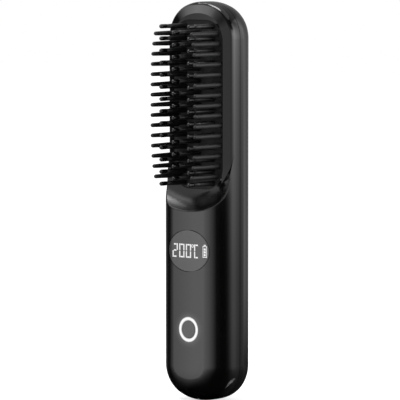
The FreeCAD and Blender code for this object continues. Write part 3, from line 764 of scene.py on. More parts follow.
@dataclass
class BristleField:
    """Bed, outer bristles, heated teeth and their insulating tips.

    Attributes:
        centre: Height of the field's middle.
        bed_y: Y of the bed's face.
        guard_x: Distance of the outer columns from the middle.
        guard_bow: How far those columns draw in at their ends.
        guard_count: Bristles in an outer column.
        guard_pitch: Spacing in an outer column.
        guard_root: Depth of an outer bristle's foot in the bed.
        guard_reach: Distance from the bed to the end of an outer bristle.
        guard_radii: Radius of an outer bristle at its foot and at its end.
        tooth_x: Distance of the side columns of teeth.
        tooth_pitch: Spacing of the teeth.
        tooth_count: Teeth in a side column; the middle one has one less.
        tooth_root: Depth of a tooth's foot in the bed.
        tooth_reaches: Distance from the bed to the end of the tips, in the side columns and the middle one.
        tooth_radii: Radius of a tooth at its foot and under its tip.
        tip_length: Length of an insulating tip.
        tip_radius: Radius of an insulating tip.
        tip_rings: Rings in a tip's round end.
        sides: Faces round each pin.
        bed: Finish of the recessed plate.
        nylon: Finish of the outer bristles.
        tooth: Finish of the heated teeth.
        tip: Finish of the insulating tips.
    """

    centre: float = 145.0
    bed_y: float = 0.2
    guard_x: float = 13.8
    guard_bow: float = 2.2
    guard_count: int = 15
    guard_pitch: float = 4.96
    guard_root: float = 1.2
    guard_reach: float = 19.25
    guard_radii: Span = (1.35, 0.97)
    tooth_x: float = 8.9
    tooth_pitch: float = 5.88
    tooth_count: int = 14
    tooth_root: float = 2.9
    tooth_reaches: Span = (18.3, 19.5)
    tooth_radii: Span = (1.35, 1.0)
    tip_length: float = 4.6
    tip_radius: float = 1.05
    tip_rings: int = 7
    sides: int = 20
    bed: Moulding = Moulding(
        "bed_matt_black", (grey(0.003), grey(0.005)), (0.52, 0.64), 0.5, 0.006, shine=0.3)
    nylon: Moulding = Moulding(
        "bristle_nylon_black", (grey(0.002), grey(0.004)), (0.5, 0.66), 0.4, 0.004)
    tooth: Moulding = Moulding(
        "tooth_ceramic_coat_black", (grey(0.003), grey(0.006)), (0.36, 0.5), 0.3, 0.004)
    tip: Gloss = Gloss(
        "tooth_tip_gloss_black", (grey(0.002), grey(0.004)), (0.08, 0.14), 4.0, 0.0006)

    @staticmethod
    def taper(start: Span, end: Span, shares: tuple[float, ...]) -> list[Span]:
        """Stations along a straight taper.

        Args:
            start: Distance and radius at its start.
            end: Distance and radius at its end.
            shares: How far along each station lies, from 0 to 1.

        Returns:
            The stations in order.
        """
        (low, wide), (high, narrow) = start, end
        return [(low + (high - low) * t, wide + (narrow - wide) * t) for t in shares]

    def guard_pin(self) -> Pin:
        """Outline of an outer bristle, thickest where it leaves the bed.

        Returns:
            The outline.
        """
        base, tip = self.guard_radii
        root = self.guard_root
        shoulder = root + self.guard_reach - tip
        foot = [(0.0, 0.0), (0.0, base), (root, base)]
        waist = self.taper((root, base), (shoulder, tip), (0.12, 0.35, 0.6, 0.85, 1.0))
        return Pin(self.bed_y + root, foot + waist + Pin.dome(shoulder, tip))

    def tooth_pin(self, reach: float) -> Pin:
        """Outline of a heated tooth up to the foot of its tip.

        Args:
            reach: Distance from the bed to the end of the tip.

        Returns:
            The outline.
        """
        base, neck = self.tooth_radii
        root = self.tooth_root
        end = root + reach - self.tip_length
        foot = [(0.0, 0.0), (0.0, base), (root, base)]
        waist = self.taper((root, base), (end, neck), (0.1, 0.4, 0.7, 1.0))
        return Pin(self.bed_y + root, foot + waist + [(end, 0.0)])

    def tip_pin(self, reach: float) -> Pin:
        """Outline of an insulating tip with a rolled foot.

        Args:
            reach: Distance from the bed to the end of the tip.

        Returns:
            The outline.
        """
        radius = self.tip_radius
        shoulder = self.tip_length - radius
        foot = [(0.0, 0.0), (0.0, radius * 0.86), (0.08, radius * 0.95), (0.22, radius)]
        barrel = [(shoulder * t, radius) for t in (0.3, 0.65, 1.0)]
        dome = Pin.dome(shoulder, radius, self.tip_rings)
        return Pin(self.bed_y - reach + self.tip_length, foot + barrel + dome)

    def columns(self, name: str, node: str, rows: list[tuple[Pin, int, float, float, float]],
                finish: Any) -> bpy.types.Object:
        """Plants columns of pins with one Geometry Nodes tree.

        Args:
            name: Name of the piece.
            node: Name of the CAD node that it stands for.
            rows: Outline, count, pitch, distance from the middle and bow of each pair of columns.
            finish: Finish of the pins.

        Returns:
            The piece.
        """
        sketch = Sketch(name + "_columns")
        values: dict[str, Any] = {
            "Centre": self.centre * MM,
            "Sides": self.sides,
            "Finish": finish.material(),
        }
        for i, (pin, count, pitch, across, bow) in enumerate(rows):
            values |= {
                f"Count {i}": count,
                f"Pitch {i}": pitch * MM,
                f"Across {i}": across * MM,
                f"Bow {i}": bow * MM,
                f"Root {i}": pin.start * MM,
                f"Length {i}": pin.length * MM,
                f"Girth {i}": pin.girth * MM,
            }
        sketch.inputs(**values)
        joined = sketch.node("GeometryNodeJoinGeometry")
        for i, (pin, _, _, across, _) in enumerate(rows):
            places = self.column_points(sketch, i, across)
            planted = sketch.node("GeometryNodeInstanceOnPoints",
                                  {"Points": places, "Instance": self.turned(sketch, i, pin)})
            sketch.tree.links.new(planted.outputs[0], joined.inputs[0])
        piece = sketch.piece(name, joined.outputs[0], "Finish")
        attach(piece, "brush")
        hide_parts(node)
        LOG.info("%s: %d faces in %s", name, len(piece.data.polygons), finish.name)
        return piece

    def column_points(self, sketch: Sketch, i: int, across: float) -> bpy.types.NodeSocket:
        """Places of one pair of columns, bowed towards the middle at both ends.

        Args:
            sketch: Tree to add to.
            i: Number of the row.
            across: Distance from the middle; a column on the middle has no twin.

        Returns:
            Points socket.
        """
        count, pitch = sketch.given(f"Count {i}"), sketch.given(f"Pitch {i}")
        steps = sketch.maths("SUBTRACT", count, 1.0)
        half = sketch.maths("MULTIPLY", steps, sketch.maths("MULTIPLY", pitch, 0.5))
        low = sketch.maths("SUBTRACT", sketch.given("Centre"), half)
        start = sketch.node("ShaderNodeCombineXYZ", {"Y": sketch.given(f"Root {i}"), "Z": low})
        step = sketch.node("ShaderNodeCombineXYZ", {"Z": pitch})
        line = sketch.node("GeometryNodeMeshLine",
                           {"Count": count, "Start Location": start.outputs[0], "Offset": step.outputs[0]})
        position = sketch.node("GeometryNodeInputPosition").outputs[0]
        where = sketch.node("ShaderNodeSeparateXYZ", {"Vector": position})
        above = sketch.maths("SUBTRACT", where.outputs["Z"], sketch.given("Centre"))
        share = sketch.maths("ABSOLUTE", sketch.maths("DIVIDE", above, half))
        draw = sketch.maths("MULTIPLY", sketch.maths("POWER", share, 4.0), sketch.given(f"Bow {i}"))
        out = sketch.maths("SUBTRACT", sketch.given(f"Across {i}"), draw)
        shift = sketch.node("ShaderNodeCombineXYZ", {"X": out})
        moved = sketch.node("GeometryNodeSetPosition",
                            {"Geometry": line.outputs[0], "Offset": shift.outputs[0]}).outputs[0]
        if across == 0:
            return moved
        twin = sketch.node("GeometryNodeTransform", {"Geometry": moved, "Scale": (-1.0, 1.0, 1.0)})
        both = sketch.node("GeometryNodeJoinGeometry")
        sketch.tree.links.new(moved, both.inputs[0])
        sketch.tree.links.new(twin.outputs[0], both.inputs[0])
        return both.outputs[0]

    def turned(self, sketch: Sketch, i: int, pin: Pin) -> bpy.types.NodeSocket:
        """Turns a pin's outline round its axis.

        Args:
            sketch: Tree to add to.
            i: Number of the row.
            pin: Outline.

        Returns:
            Mesh socket with the root at the origin.
        """
        line = sketch.node("GeometryNodeCurvePrimitiveLine", {"End": (0.0, -1.0, 0.0)})
        fine = sketch.node("GeometryNodeResampleCurve",
                           {"Curve": line.outputs[0], "Count": len(pin.stations)})
        index = sketch.node("GeometryNodeSplineParameter").outputs["Index"]
        along = sketch.maths("DIVIDE", index, len(pin.stations) - 1.0)
        length, girth = sketch.given(f"Length {i}"), sketch.given(f"Girth {i}")
        reach = self.profile(sketch, along, [a / pin.length for a, _ in pin.stations])
        width = self.profile(sketch, along, [r / pin.girth for _, r in pin.stations])
        y = sketch.maths("MULTIPLY", sketch.maths("MULTIPLY", reach, length), -1.0)
        spine = sketch.node("GeometryNodeSetPosition", {
            "Geometry": fine.outputs[0],
            "Position": sketch.node("ShaderNodeCombineXYZ", {"Y": y}).outputs[0],
        })
        ring = sketch.node("GeometryNodeCurvePrimitiveCircle",
                           {"Resolution": sketch.given("Sides"), "Radius": 1.0})
        body = sketch.node("GeometryNodeCurveToMesh", {
            "Curve": spine.outputs[0], "Profile Curve": ring.outputs[0],
            "Scale": sketch.maths("MULTIPLY", width, girth),
        })
        return body.outputs[0]

    @staticmethod
    def profile(sketch: Sketch, along: bpy.types.NodeSocket, values: list[float]) -> bpy.types.NodeSocket:
        """Curve through evenly spaced values.

        Args:
            sketch: Tree to add to.
            along: Factor socket.
            values: Values from 0 to 1.

        Returns:
            Value socket.
        """
        made = sketch.node("ShaderNodeFloatCurve", {"Value": along})
        points = made.mapping.curves[0].points
        last = len(values) - 1
        while len(points) < len(values):
            points.new(0.5, 0.5)
        for i, (point, value) in enumerate(zip(points, values)):
            point.location = (i / last, value)
            point.handle_type = "VECTOR"
        made.mapping.update()
        return made.outputs[0]

    def build(self) -> None:
        """Makes the bristles, teeth and tips and dresses the bed."""
        dress("bristle_bed", self.bed)
        side, middle = self.tooth_reaches
        fewer = self.tooth_count - 1
        guards = self.columns("outer_bristles", "guard_bristles", [
            (self.guard_pin(), self.guard_count, self.guard_pitch, self.guard_x, self.guard_bow),
        ], self.nylon)
        teeth = self.columns("coated_teeth", "heated_teeth", [
            (self.tooth_pin(side), self.tooth_count, self.tooth_pitch, self.tooth_x, 0.0),
            (self.tooth_pin(middle), fewer, self.tooth_pitch, 0.0, 0.0),
        ], self.tooth)
        tips = self.columns("round_tips", "tooth_tips", [
            (self.tip_pin(side), self.tooth_count, self.tooth_pitch, self.tooth_x, 0.0),
            (self.tip_pin(middle), fewer, self.tooth_pitch, 0.0, 0.0),
        ], self.tip)


@dataclass
class Casing:
    """The two glossy shells.

    Attributes:
        gloss: Finish of both: barrelled sides, a slightly crowned front, a satin scoop and a painted glow
        round the lit ring.
    """

    gloss: Gloss = Gloss(
        "shell_gloss_black", (grey(0.0016), grey(0.0024)), (0.07, 0.1),
        # halo: painted glow, emitted by the shell round the lit ring
        crown=0.0013, satin=(84.0, 116.0, 0.2), halo=(35.5, 9.8, 0.055),
        barrel=((1.4, 0.0), (2.4, 0.003), (3.4, 0.045), (4.4, 0.117), (5.4, 0.17), (6.4, 0.195),
                (7.4, 0.195), (8.4, 0.17), (9.4, 0.117), (10.4, 0.045), (11.4, 0.003), (12.4, 0.0)))

    def build(self) -> None:
        """Dresses both shells."""
        dress("front_shell", self.gloss)
        dress("rear_shell", self.gloss)


@dataclass
class Display:
    """Smoked window, its lit readout, the foam frame and the light box.

    Attributes:
        lens: Finish of the window.
        readout: Finish of the lit digits and battery sign.
        foam: Finish of the frame behind the window.
        module: Finish of the light box.
    """

    lens: Gloss = Gloss("lens_smoked_grey", (grey(0.046), grey(0.058)), (0.05, 0.08), 12.0, 0.0006)
    readout: Lit = Lit("readout_white_light", grey(0.4), (grey(0.85), grey(1.0)), 0.56)
    foam: Moulding = Moulding("gasket_black_foam", (grey(0.008), grey(0.016)), (0.85, 0.95), 0.35, 0.05,
                              Grain.PEBBLED)
    module: Moulding = Moulding("light_box_white", (grey(0.62), grey(0.7)), (0.42, 0.55), 0.6, 0.008)

    def build(self) -> None:
        """Dresses the display's pieces."""
        dress("display_lens", self.lens)
        dress("display_segments", self.readout)
        dress("display_gasket", self.foam)
        dress("display_module", self.module)


@dataclass
class PowerControl:
    """Lit ring, sprung button, switch and lamps.

    Attributes:
        ring: Finish of the lit ring.
        button: Finish of the button.
        switch: Finish of the switch and its plunger.
        lamp: Finish of the lamps behind the ring.
    """

    ring: Lit = Lit("ring_white_light", grey(0.3), (grey(0.38), grey(1.0)), 0.78, tube=(35.5, 5.3, 0.8))
    button: Gloss = Gloss("button_satin_black", (grey(0.05), grey(0.06)), (0.12, 0.2), 5.0, 0.001)
    switch: Moulding = Moulding("switch_black_plastic", (grey(0.012), grey(0.02)), (0.4, 0.55), 0.4, 0.006)
    lamp: Lit = Lit("lamp_phosphor", (0.8, 0.7, 0.3), ((0.9, 0.85, 0.6), (1.0, 0.95, 0.8)), 0.8, 0.5)

    def build(self) -> None:
        """Dresses the control's pieces."""
        dress("light_ring", self.ring)
        dress("power_button", self.button)
        dress("switch_plunger", self.switch)
        dress("switch_body", self.switch)
        dress("ring_leds", self.lamp)


@dataclass
class Electronics:
    """Main board, chip, screws and the battery.

    Attributes:
        board: Finish of both boards.
        chip: Finish of the control chip.
        steel: Finish of all screws.
        sleeve: Finish of the battery's sleeve.
        nickel: Finish of the battery's tabs.
    """

    board: Laminate = Laminate("board_green_mask", (0.01, 0.07, 0.03), (0.03, 0.16, 0.06))
    chip: Moulding = Moulding("chip_black_epoxy", (grey(0.015), grey(0.025)), (0.5, 0.65), 0.25, 0.01)
    steel: Worked = Worked("screw_zinc_steel", (grey(0.42), grey(0.58)), (0.24, 0.38), (1.0, 0.2, 1.0))
    sleeve: Moulding = Moulding(
        "battery_blue_sleeve", ((0.01, 0.06, 0.22), (0.015, 0.08, 0.28)), (0.24, 0.36), 0.7, 0.01,
        Grain.DRAWN, 0.3)
    nickel: Worked = Worked("tab_nickel_strip", (grey(0.5), grey(0.62)), (0.22, 0.36), (1.0, 0.05, 1.0))

    def build(self) -> None:
        """Dresses the electronics."""
        dress("main_board", self.board)
        dress("charge_board", self.board)
        dress("control_chip", self.chip)
        dress("battery_cell", self.sleeve)
        dress("battery_tabs", self.nickel)
        for node in ("board_screws", "charge_screws", "carrier_screws"):
            dress(node, self.steel)


@dataclass
class ChargingInlet:
    """Charging socket and its leads.

    Attributes:
        can: Finish of the socket's metal can.
        tongue: Finish of the tongue in it.
        lead: Finish of the charging leads.
    """

    can: Worked = Worked("port_drawn_steel", (grey(0.4), grey(0.55)), (0.2, 0.32))
    tongue: Moulding = Moulding("port_black_plastic", (grey(0.01), grey(0.018)), (0.4, 0.5), 0.4, 0.004)
    lead: Moulding = Moulding("lead_red_silicone", ((0.32, 0.01, 0.008), (0.4, 0.016, 0.012)), (0.42, 0.55),
                              0.5, 0.004)

    def build(self) -> None:
        """Dresses the inlet's pieces."""
        dress("usb_receptacle", self.can)
        dress("usb_tongue", self.tongue)
        dress("charge_leads", self.lead)


@dataclass
class Heater:
    """Heating stack behind the bristle bed.

    Attributes:
        metal: Finish of the heater plate and its clamp.
        ceramic: Finish of the heating elements.
        film: Finish of the insulating film.
        carrier: Finish of the heatproof carrier.
        bead: Finish of the temperature sensor.
        fuse: Finish of the thermal fuse.
        lead: Finish of the heater's leads.
        black_lead: Finish of the sensor's lead.
    """

    metal: Worked = Worked("heater_aluminium", (grey(0.55), grey(0.68)), (0.28, 0.42))
    ceramic: Moulding = Moulding("element_grey_ceramic", (grey(0.1), grey(0.16)), (0.6, 0.75), 0.3, 0.012)
    film: Gloss = Gloss("film_amber", ((0.4, 0.16, 0.015), (0.5, 0.2, 0.02)), (0.12, 0.2), 6.0, 0.004)
    carrier: Moulding = Moulding(
        "carrier_heatproof_black", (grey(0.014), grey(0.024)), (0.5, 0.65), 0.6, 0.012)
    bead: Gloss = Gloss("sensor_epoxy_black", (grey(0.01), grey(0.02)), (0.15, 0.25), 1.5, 0.004)
    fuse: Moulding = Moulding("fuse_white_ceramic", (grey(0.6), grey(0.7)), (0.35, 0.5), 0.4, 0.006)
    lead: Moulding = Moulding("heater_lead_red", ((0.32, 0.01, 0.008), (0.4, 0.016, 0.012)), (0.42, 0.55),
                              0.5, 0.004)
    black_lead: Moulding = Moulding(
        "sensor_lead_black", (grey(0.01), grey(0.016)), (0.42, 0.55), 0.5, 0.004)

    def build(self) -> None:
        """Dresses the heater's pieces."""
        dress("heater_plate", self.metal)
        dress("heater_clamp", self.metal)
        dress("ptc_elements", self.ceramic)
        dress("insulating_film", self.film)
        dress("heater_carrier", self.carrier)
        dress("thermistor", self.bead)
        dress("thermal_fuse", self.fuse)
        dress("heater_leads", self.lead)
        dress("sensor_lead", self.black_lead)


@dataclass(frozen=True)
class Tier:
    """One storey of the cards that stand round the brush.

    Attributes:
        starts: Heights between which it takes over from the storey below.
        around: Degrees from the camera, to its right, and brightness.
    """

    starts: Span
    around: tuple[Span, ...]


RIGHT_CARDS = (
    (80.0, 2.6), (86.0, 2.05), (91.0, 1.4), (94.0, 1.1), (98.0, 0.95), (101.0, 1.1), (107.0, 2.5),
    (110.0, 2.1), (114.0, 1.5), (120.0, 1.05), (134.0, 0.85), (180.0, 0.5))


@dataclass
class Studio:
    """Floor, light and camera.

    Attributes:
        azimuth: Degrees of the camera round the brush.
        elevation: Degrees of the camera above the horizon.
        lens: Focal length of the camera.
        width: Width of the picture at the brush in millimetres.
        aim: Point in the middle of the picture.
        tiers: Storeys of the cards, from the floor up: beside the handle, beside the head and
            three over it.
        card_radius: Distance of those cards.
        card_height: Height of those cards.
        dish_fade: Distances from the middle where the dish under the brush starts to glow and is full.
        strip_turns: Degrees between which the cards pass into the strip on the right.
        rear_turns: Degrees between which that strip passes into the cards behind it.
        strip_by_height: Height and share of the brightness of the strip.
        rear_by_height: Height and share of the brightness of the cards behind the strip.
        lid_corners: Corners of the softbox overhead.
        lid_level: Brightness of that softbox.
        lid_gap: Height of that softbox over the cards.
        lid_pitch: Size of that softbox's unevenness.
        glint_corners: Corners of a small card on the floor beside the brush.
        glint_level: Brightness of that card.
        glint_height: Height of that card.
        glint_pitch: Size of that card's unevenness.
        card_count: Faces in the ring of cards.
        dish_height: Height of the dish under the brush.
        dish_hole: Radius of the hole in its middle.
        floor_reach: Distance from the middle to the floor's edges.
        floor_glow: Light of the floor where it is looked at.
        floor_tones: Darkest and lightest tone of the floor.
        floor_pitch: Size of the floor's unevenness.
        dome_light: Strength of the dome as light.
        dome_white: Strength of the dome where it is looked at.
        lamp_place: Place of the soft lamp.
        lamp_aim: Point that it is turned to.
        lamp_size: Width of that lamp.
        lamp_power: Power of that lamp in watts.
        sensor: Width of the camera's sensor.
    """

    azimuth: float = 41.0
    elevation: float = 4.0
    lens: float = 400.0
    width: float = 195.0
    aim: Tone = (0.63, 0.55, 98.35)
    tiers: tuple[Tier, ...] = (
        Tier((-1.0, 0.0), (
            (-180.0, 0.3), (-150.0, 0.14), (-126.0, 0.02), (-112.0, 0.05), (-103.0, 0.3),
            (-93.0, 0.85), (-86.0, 1.45), (-79.0, 2.1), (-72.0, 2.1), (-62.0, 1.8), (-42.0, 1.43),
            (-22.0, 0.75), (-12.0, 0.37), (-2.0, 0.07), (18.0, 0.03), (38.0, 0.06), (48.0, 0.25),
            (58.0, 0.85), (66.0, 1.7), (74.0, 2.5), *RIGHT_CARDS)),
        Tier((88.0, 104.0), (
            (-180.0, 0.3), (-150.0, 0.14), (-126.0, 0.02), (-112.0, 0.05), (-103.0, 0.2),
            (-93.0, 0.45), (-86.0, 0.75), (-79.0, 1.0), (-72.0, 1.0), (-62.0, 0.9), (-42.0, 0.82),
            (-22.0, 0.72), (-8.0, 0.62), (6.0, 0.85), (28.0, 1.8), (54.0, 2.6), (74.0, 2.8),
            *RIGHT_CARDS)),
        Tier((226.0, 268.0), (
            (-180.0, 0.6), (-150.0, 0.6), (-126.0, 0.9), (-104.0, 2.0), (-90.0, 3.2), (-74.0, 2.9),
            (-60.0, 1.0), (-45.0, 0.15), (30.0, 0.1), (50.0, 0.4), (66.0, 1.7), (74.0, 2.6),
            *RIGHT_CARDS)),
        Tier((312.0, 326.0), (
            (-180.0, 0.5), (-126.0, 0.5), (-60.0, 0.6), (-40.0, 0.1), (50.0, 0.1), (80.0, 0.6),
            (140.0, 0.6))),
        Tier((385.0, 400.0), (
            (-146.0, 0.5), (-136.0, 5.5), (-104.0, 5.5), (-90.0, 0.6), (60.0, 0.6), (140.0, 0.6))),
    )
    card_radius: float = 200.0
    card_height: float = 420.0
    dish_fade: Span = (12.0, 140.0)
    strip_turns: Span = (10.0, 25.0)
    rear_turns: Span = (100.0, 108.0)
    strip_by_height: tuple[Span, ...] = (
        (0.0, 0.3), (14.0, 0.36), (24.0, 0.4), (48.0, 0.44), (74.0, 0.58), (88.0, 0.64),
        (101.0, 0.72), (127.0, 0.86), (150.0, 1.05), (166.0, 1.3), (176.0, 1.55), (205.0, 1.75),
        (240.0, 1.6), (290.0, 0.8), (340.0, 0.4), (420.0, 0.4))
    rear_by_height: tuple[Span, ...] = (
        (0.0, 0.1), (12.0, 0.25), (40.0, 0.5), (70.0, 0.6), (420.0, 0.6))
    lid_corners: tuple[Span, ...] = ((-190, -60), (-100, -60), (-100, 20), (-190, 20))
    lid_level: float = 5.5
    lid_gap: float = 40.0
    lid_pitch: float = 90.0
    glint_corners: tuple[Span, ...] = ((19, 4), (27, 7), (34, 18), (30, 19), (25, 11))
    glint_level: float = 2.2
    glint_height: float = 0.6
    glint_pitch: float = 3.0
    card_count: int = 144
    dish_height: float = 0.3
    dish_hole: float = 0.5
    floor_reach: float = 3000.0
    floor_glow: float = 0.72
    floor_tones: tuple[Tone, Tone] = (grey(0.84), grey(0.86))
    floor_pitch: float = 60.0
    dome_light: float = 0.5
    dome_white: float = 1.0
    lamp_place: Tone = (-140.0, -250.0, 820.0)
    lamp_aim: Tone = (0.0, 0.0, 100.0)
    lamp_size: float = 380.0
    lamp_power: float = 4.0
    sensor: float = 36.0

    def build(self) -> None:
        """Sets the stage."""
        self.floor()
        self.world()
        self.cards()
        self.lamps()
        self.camera()
        bpy.context.scene.view_settings.view_transform = "Standard"

    def backdrop_test(self, recipe: Recipe) -> bpy.types.NodeSocket:
        """One where the camera, a reflection or a see-through piece looks at the backdrop.

        Args:
            recipe: Graph to add to.

        Returns:
            Factor socket.
        """
        path = recipe.node("ShaderNodeLightPath")
        seen = recipe.maths("MAXIMUM", path.outputs["Is Camera Ray"], path.outputs["Is Glossy Ray"])
        return recipe.maths("MAXIMUM", seen, path.outputs["Is Transmission Ray"])

    def sheet(self, name: str, points: list[Tone], faces: list[tuple[int, ...]]) -> bpy.types.Object:
        """Mesh object for the stage.

        Args:
            name: Name of the object.
            points: Corners in millimetres.
            faces: Corner numbers of each face.

        Returns:
            The object, marked as stage.
        """
        mesh = bpy.data.meshes.new(name)
        mesh.from_pydata([Vector(p) * MM for p in points], [], faces)
        made = bpy.data.objects.new(name, mesh)
        bpy.context.scene.collection.objects.link(made)
        made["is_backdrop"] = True
        return made

    def floor(self) -> None:
        """Lays a pale floor that keeps the brush's shadow."""
        far = self.floor_reach
        edges = [(-far, -far, 0), (far, -far, 0), (far, far, 0), (-far, far, 0)]
        floor = self.sheet("floor", edges, [(0, 1, 2, 3)])
        recipe = Recipe("floor_pale")
        recipe.mottle(recipe.noise(self.floor_pitch), self.floor_tones)
        recipe.fix(Roughness=0.9, Specular_IOR_Level=0.1, Emission_Color=(1, 1, 1, 1))
        glow = recipe.maths("MULTIPLY", self.backdrop_test(recipe), self.floor_glow)
        recipe.link(glow, recipe.shader.inputs["Emission Strength"])
        floor.data.materials.append(recipe.material)

    def world(self) -> None:
        """Sets an even dome: white to look at, plainly bright as light."""
        world = bpy.data.worlds.new("white_dome")
        world.use_nodes = True
        bpy.context.scene.world = world
        nodes, links = world.node_tree.nodes, world.node_tree.links
        path = nodes.new("ShaderNodeLightPath")
        seen = nodes.new("ShaderNodeMath")
        seen.operation = "MAXIMUM"
        links.new(path.outputs["Is Camera Ray"], seen.inputs[0])
        links.new(path.outputs["Is Glossy Ray"], seen.inputs[1])
        through = nodes.new("ShaderNodeMath")
        through.operation = "MAXIMUM"
        links.new(seen.outputs[0], through.inputs[0])
        links.new(path.outputs["Is Transmission Ray"], through.inputs[1])
        level = nodes.new("ShaderNodeMapRange")
        level.inputs["To Min"].default_value = self.dome_light
        level.inputs["To Max"].default_value = self.dome_white
        links.new(through.outputs[0], level.inputs["Value"])
        links.new(level.outputs["Result"], nodes["Background"].inputs["Strength"])
        nodes["Background"].inputs["Color"].default_value = (1, 1, 1, 1)

    def cards(self) -> None:
        """Stands softboxes and black flags in a ring round the brush, for its gloss only."""
        count, radius = self.card_count, self.card_radius
        turns = [2 * math.pi * i / count for i in range(count)]
        low, high = self.dish_height, self.card_height
        outline = [(self.dish_hole, low), (radius, low), (radius, high)]
        points = [(r * math.sin(t), -r * math.cos(t), z) for r, z in outline for t in turns]
        faces = []
        for row in range(len(outline) - 1):
            inner, outer = row * count, (row + 1) * count
            for i in range(count):
                after = (i + 1) % count
                faces.append((inner + i, inner + after, outer + after, outer + i))
        bowl = self.sheet("reflector_bowl", points, faces)
        bowl.data.materials.append(self.card_light())
        lid = self.small_card(
            "overhead_softbox", self.lid_corners, high + self.lid_gap, self.lid_level, self.lid_pitch)
        glint = self.small_card(
            "floor_glint", self.glint_corners, self.glint_height, self.glint_level, self.glint_pitch)
        for card in (bowl, lid, glint):
            card.visible_camera = False
            card.visible_diffuse = False
            card.visible_shadow = False
            card.visible_transmission = False

    def small_card(self, name: str, corners: tuple[Span, ...], height: float,
                   level: float, pitch: float) -> bpy.types.Object:
        """Level card that glows, for one highlight.

        Args:
            name: Name of the card.
            corners: X and Y of its corners in millimetres.
            height: Height of the card in millimetres.
            level: Brightness of the card.
            pitch: Size of its unevenness in millimetres.

        Returns:
            The object, marked as stage.
        """
        card = self.sheet(name, [(x, y, height) for x, y in corners], [tuple(range(len(corners)))])
        glow = Recipe(f"{name}_light")
        spread = glow.ramp(glow.noise(pitch, 1.0), list(zip(NOISE_ENDS, (grey(0.4), grey(1.0)))))
        glow.fix(Base_Color=(0, 0, 0, 1), Emission_Strength=level)
        glow.link(spread, glow.shader.inputs["Emission Color"])
        card.data.materials.append(glow.material)
        return card

    def card_light(self) -> bpy.types.Material:
        """Light of the ring of cards, graded round the brush and by height.

        Returns:
            The material.
        """
        recipe = Recipe("card_light")
        turn = recipe.node("ShaderNodeMapping")
        turn.inputs["Rotation"].default_value = (0, 0, -math.radians(self.azimuth))
        recipe.link(recipe.place, turn.inputs["Vector"])
        where = recipe.node("ShaderNodeSeparateXYZ")
        recipe.link(turn.outputs["Vector"], where.inputs[0])
        back = recipe.maths("MULTIPLY", where.outputs["Y"], -1.0)
        angle = recipe.maths("ARCTAN2", where.outputs["X"], back)
        share = recipe.between(angle, 0.0, 1.0, (-math.pi, math.pi))
        reach = recipe.node("ShaderNodeVectorMath", operation="LENGTH")
        flat = recipe.node("ShaderNodeCombineXYZ")
        recipe.link(where.outputs["X"], flat.inputs["X"])
        recipe.link(where.outputs["Y"], flat.inputs["Y"])
        recipe.link(flat.outputs[0], reach.inputs[0])
        near, far = self.dish_fade
        height = where.outputs["Z"]
        level: Any = 0.0
        for tier in self.tiers:
            most = max(bright for _, bright in tier.around)
            stops = [((degrees + 180) / 360, grey(bright / most)) for degrees, bright in tier.around]
            shown = recipe.maths("MULTIPLY", recipe.ramp(share, stops, "LINEAR"), most)
            change = recipe.maths("SUBTRACT", shown, level)
            reached = recipe.between(height, 0.0, 1.0, tuple(z * MM for z in tier.starts))
            level = recipe.maths("ADD", level, recipe.maths("MULTIPLY", reached, change))
        gradings = (
            (self.strip_turns, self.strip_by_height),
            (self.rear_turns, self.rear_by_height),
        )
        graded: Any = 1.0
        for turns, stops in gradings:
            reached = recipe.between(angle, 0.0, 1.0, tuple(math.radians(t) for t in turns))
            change = recipe.maths("SUBTRACT", self.by_height(recipe, height, stops), graded)
            graded = recipe.maths("ADD", graded, recipe.maths("MULTIPLY", reached, change))
        level = recipe.maths("MULTIPLY", level, graded)
        fade = recipe.between(reach.outputs["Value"], 0.0, 1.0, (near * MM, far * MM))
        glow = recipe.node("ShaderNodeEmission")
        recipe.link(recipe.maths("MULTIPLY", level, fade), glow.inputs["Strength"])
        recipe.link(glow.outputs[0], recipe.tree.nodes["Material Output"].inputs["Surface"])
        return recipe.material

    def by_height(self, recipe: Recipe, height: bpy.types.NodeSocket,
                  stops: tuple[Span, ...]) -> bpy.types.NodeSocket:
        """Share of brightness that changes with height.

        Args:
            recipe: Graph to add to.
            height: Socket with the height in metres.
            stops: Height in millimetres and share, from the floor up.

        Returns:
            Value socket.
        """
        top = self.card_height
        most = max(share for _, share in stops)
        along = recipe.between(height, 0.0, 1.0, (0.0, top * MM))
        graded = recipe.ramp(along, [(z / top, grey(share / most)) for z, share in stops], "LINEAR")
        return recipe.maths("MULTIPLY", graded, most)

    def lamps(self) -> None:
        """Hangs a soft lamp over the brush for its shadow and small highlights."""
        lamp = bpy.data.lights.new("soft_top_lamp", "AREA")
        lamp.shape = "DISK"
        lamp.size = self.lamp_size * MM
        lamp.energy = self.lamp_power
        hung = bpy.data.objects.new("soft_top_lamp", lamp)
        bpy.context.scene.collection.objects.link(hung)
        hung.location = Vector(self.lamp_place) * MM
        beam = Vector(self.lamp_aim) * MM - hung.location
        hung.rotation_euler = beam.to_track_quat("-Z", "Y").to_euler()

    def camera(self) -> None:
        """Stands the camera where the photograph was taken from."""
        data = bpy.data.cameras.new("camera")
        data.lens = self.lens
        data.sensor_width = self.sensor
        camera = bpy.data.objects.new("camera", data)
        bpy.context.scene.collection.objects.link(camera)
        a, e = math.radians(self.azimuth), math.radians(self.elevation)
        back = Vector((math.sin(a) * math.cos(e), -math.cos(a) * math.cos(e), math.sin(e)))
        camera.location = (Vector(self.aim) + back * self.width * self.lens / self.sensor) * MM
        camera.rotation_euler = (-back).to_track_quat("-Z", "Y").to_euler()
        data.clip_start, data.clip_end = 0.01, 20.0
        bpy.context.scene.camera = camera


def clear_startup() -> None:
    """Removes the startup file's own objects."""
    kept = set(frame["nodes"].values()) | set(frame["bodies"].values())
    for thing in list(bpy.data.objects):
        if thing not in kept:
            bpy.data.objects.remove(thing)


def corners() -> list[list[float]]:
    """Lowest and highest corner of what is shown."""
    bpy.context.view_layer.update()
    return [list(corner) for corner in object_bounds()]


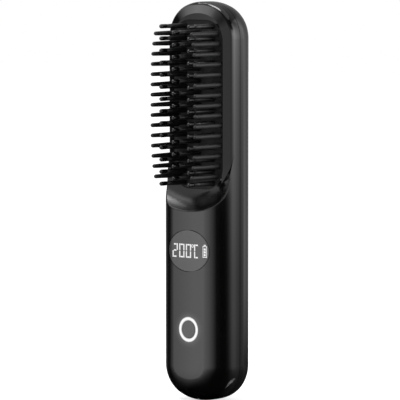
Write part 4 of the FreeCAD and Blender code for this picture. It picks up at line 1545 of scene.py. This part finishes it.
def main() -> None:
    """Builds and dresses the brush and its stage."""
    logging.basicConfig(level=logging.INFO, format="%(name)s %(message)s")
    clear_startup()
    cad = corners()
    assemblies = (
        Casing(), BristleField(), Display(), PowerControl(), Electronics(), ChargingInlet(), Heater(),
        Studio(),
    )
    for assembly in assemblies:
        assembly.build()
    visual = corners()
    LOG.info("sizes: %s", visual)


if __name__ == "__main__":
    main()
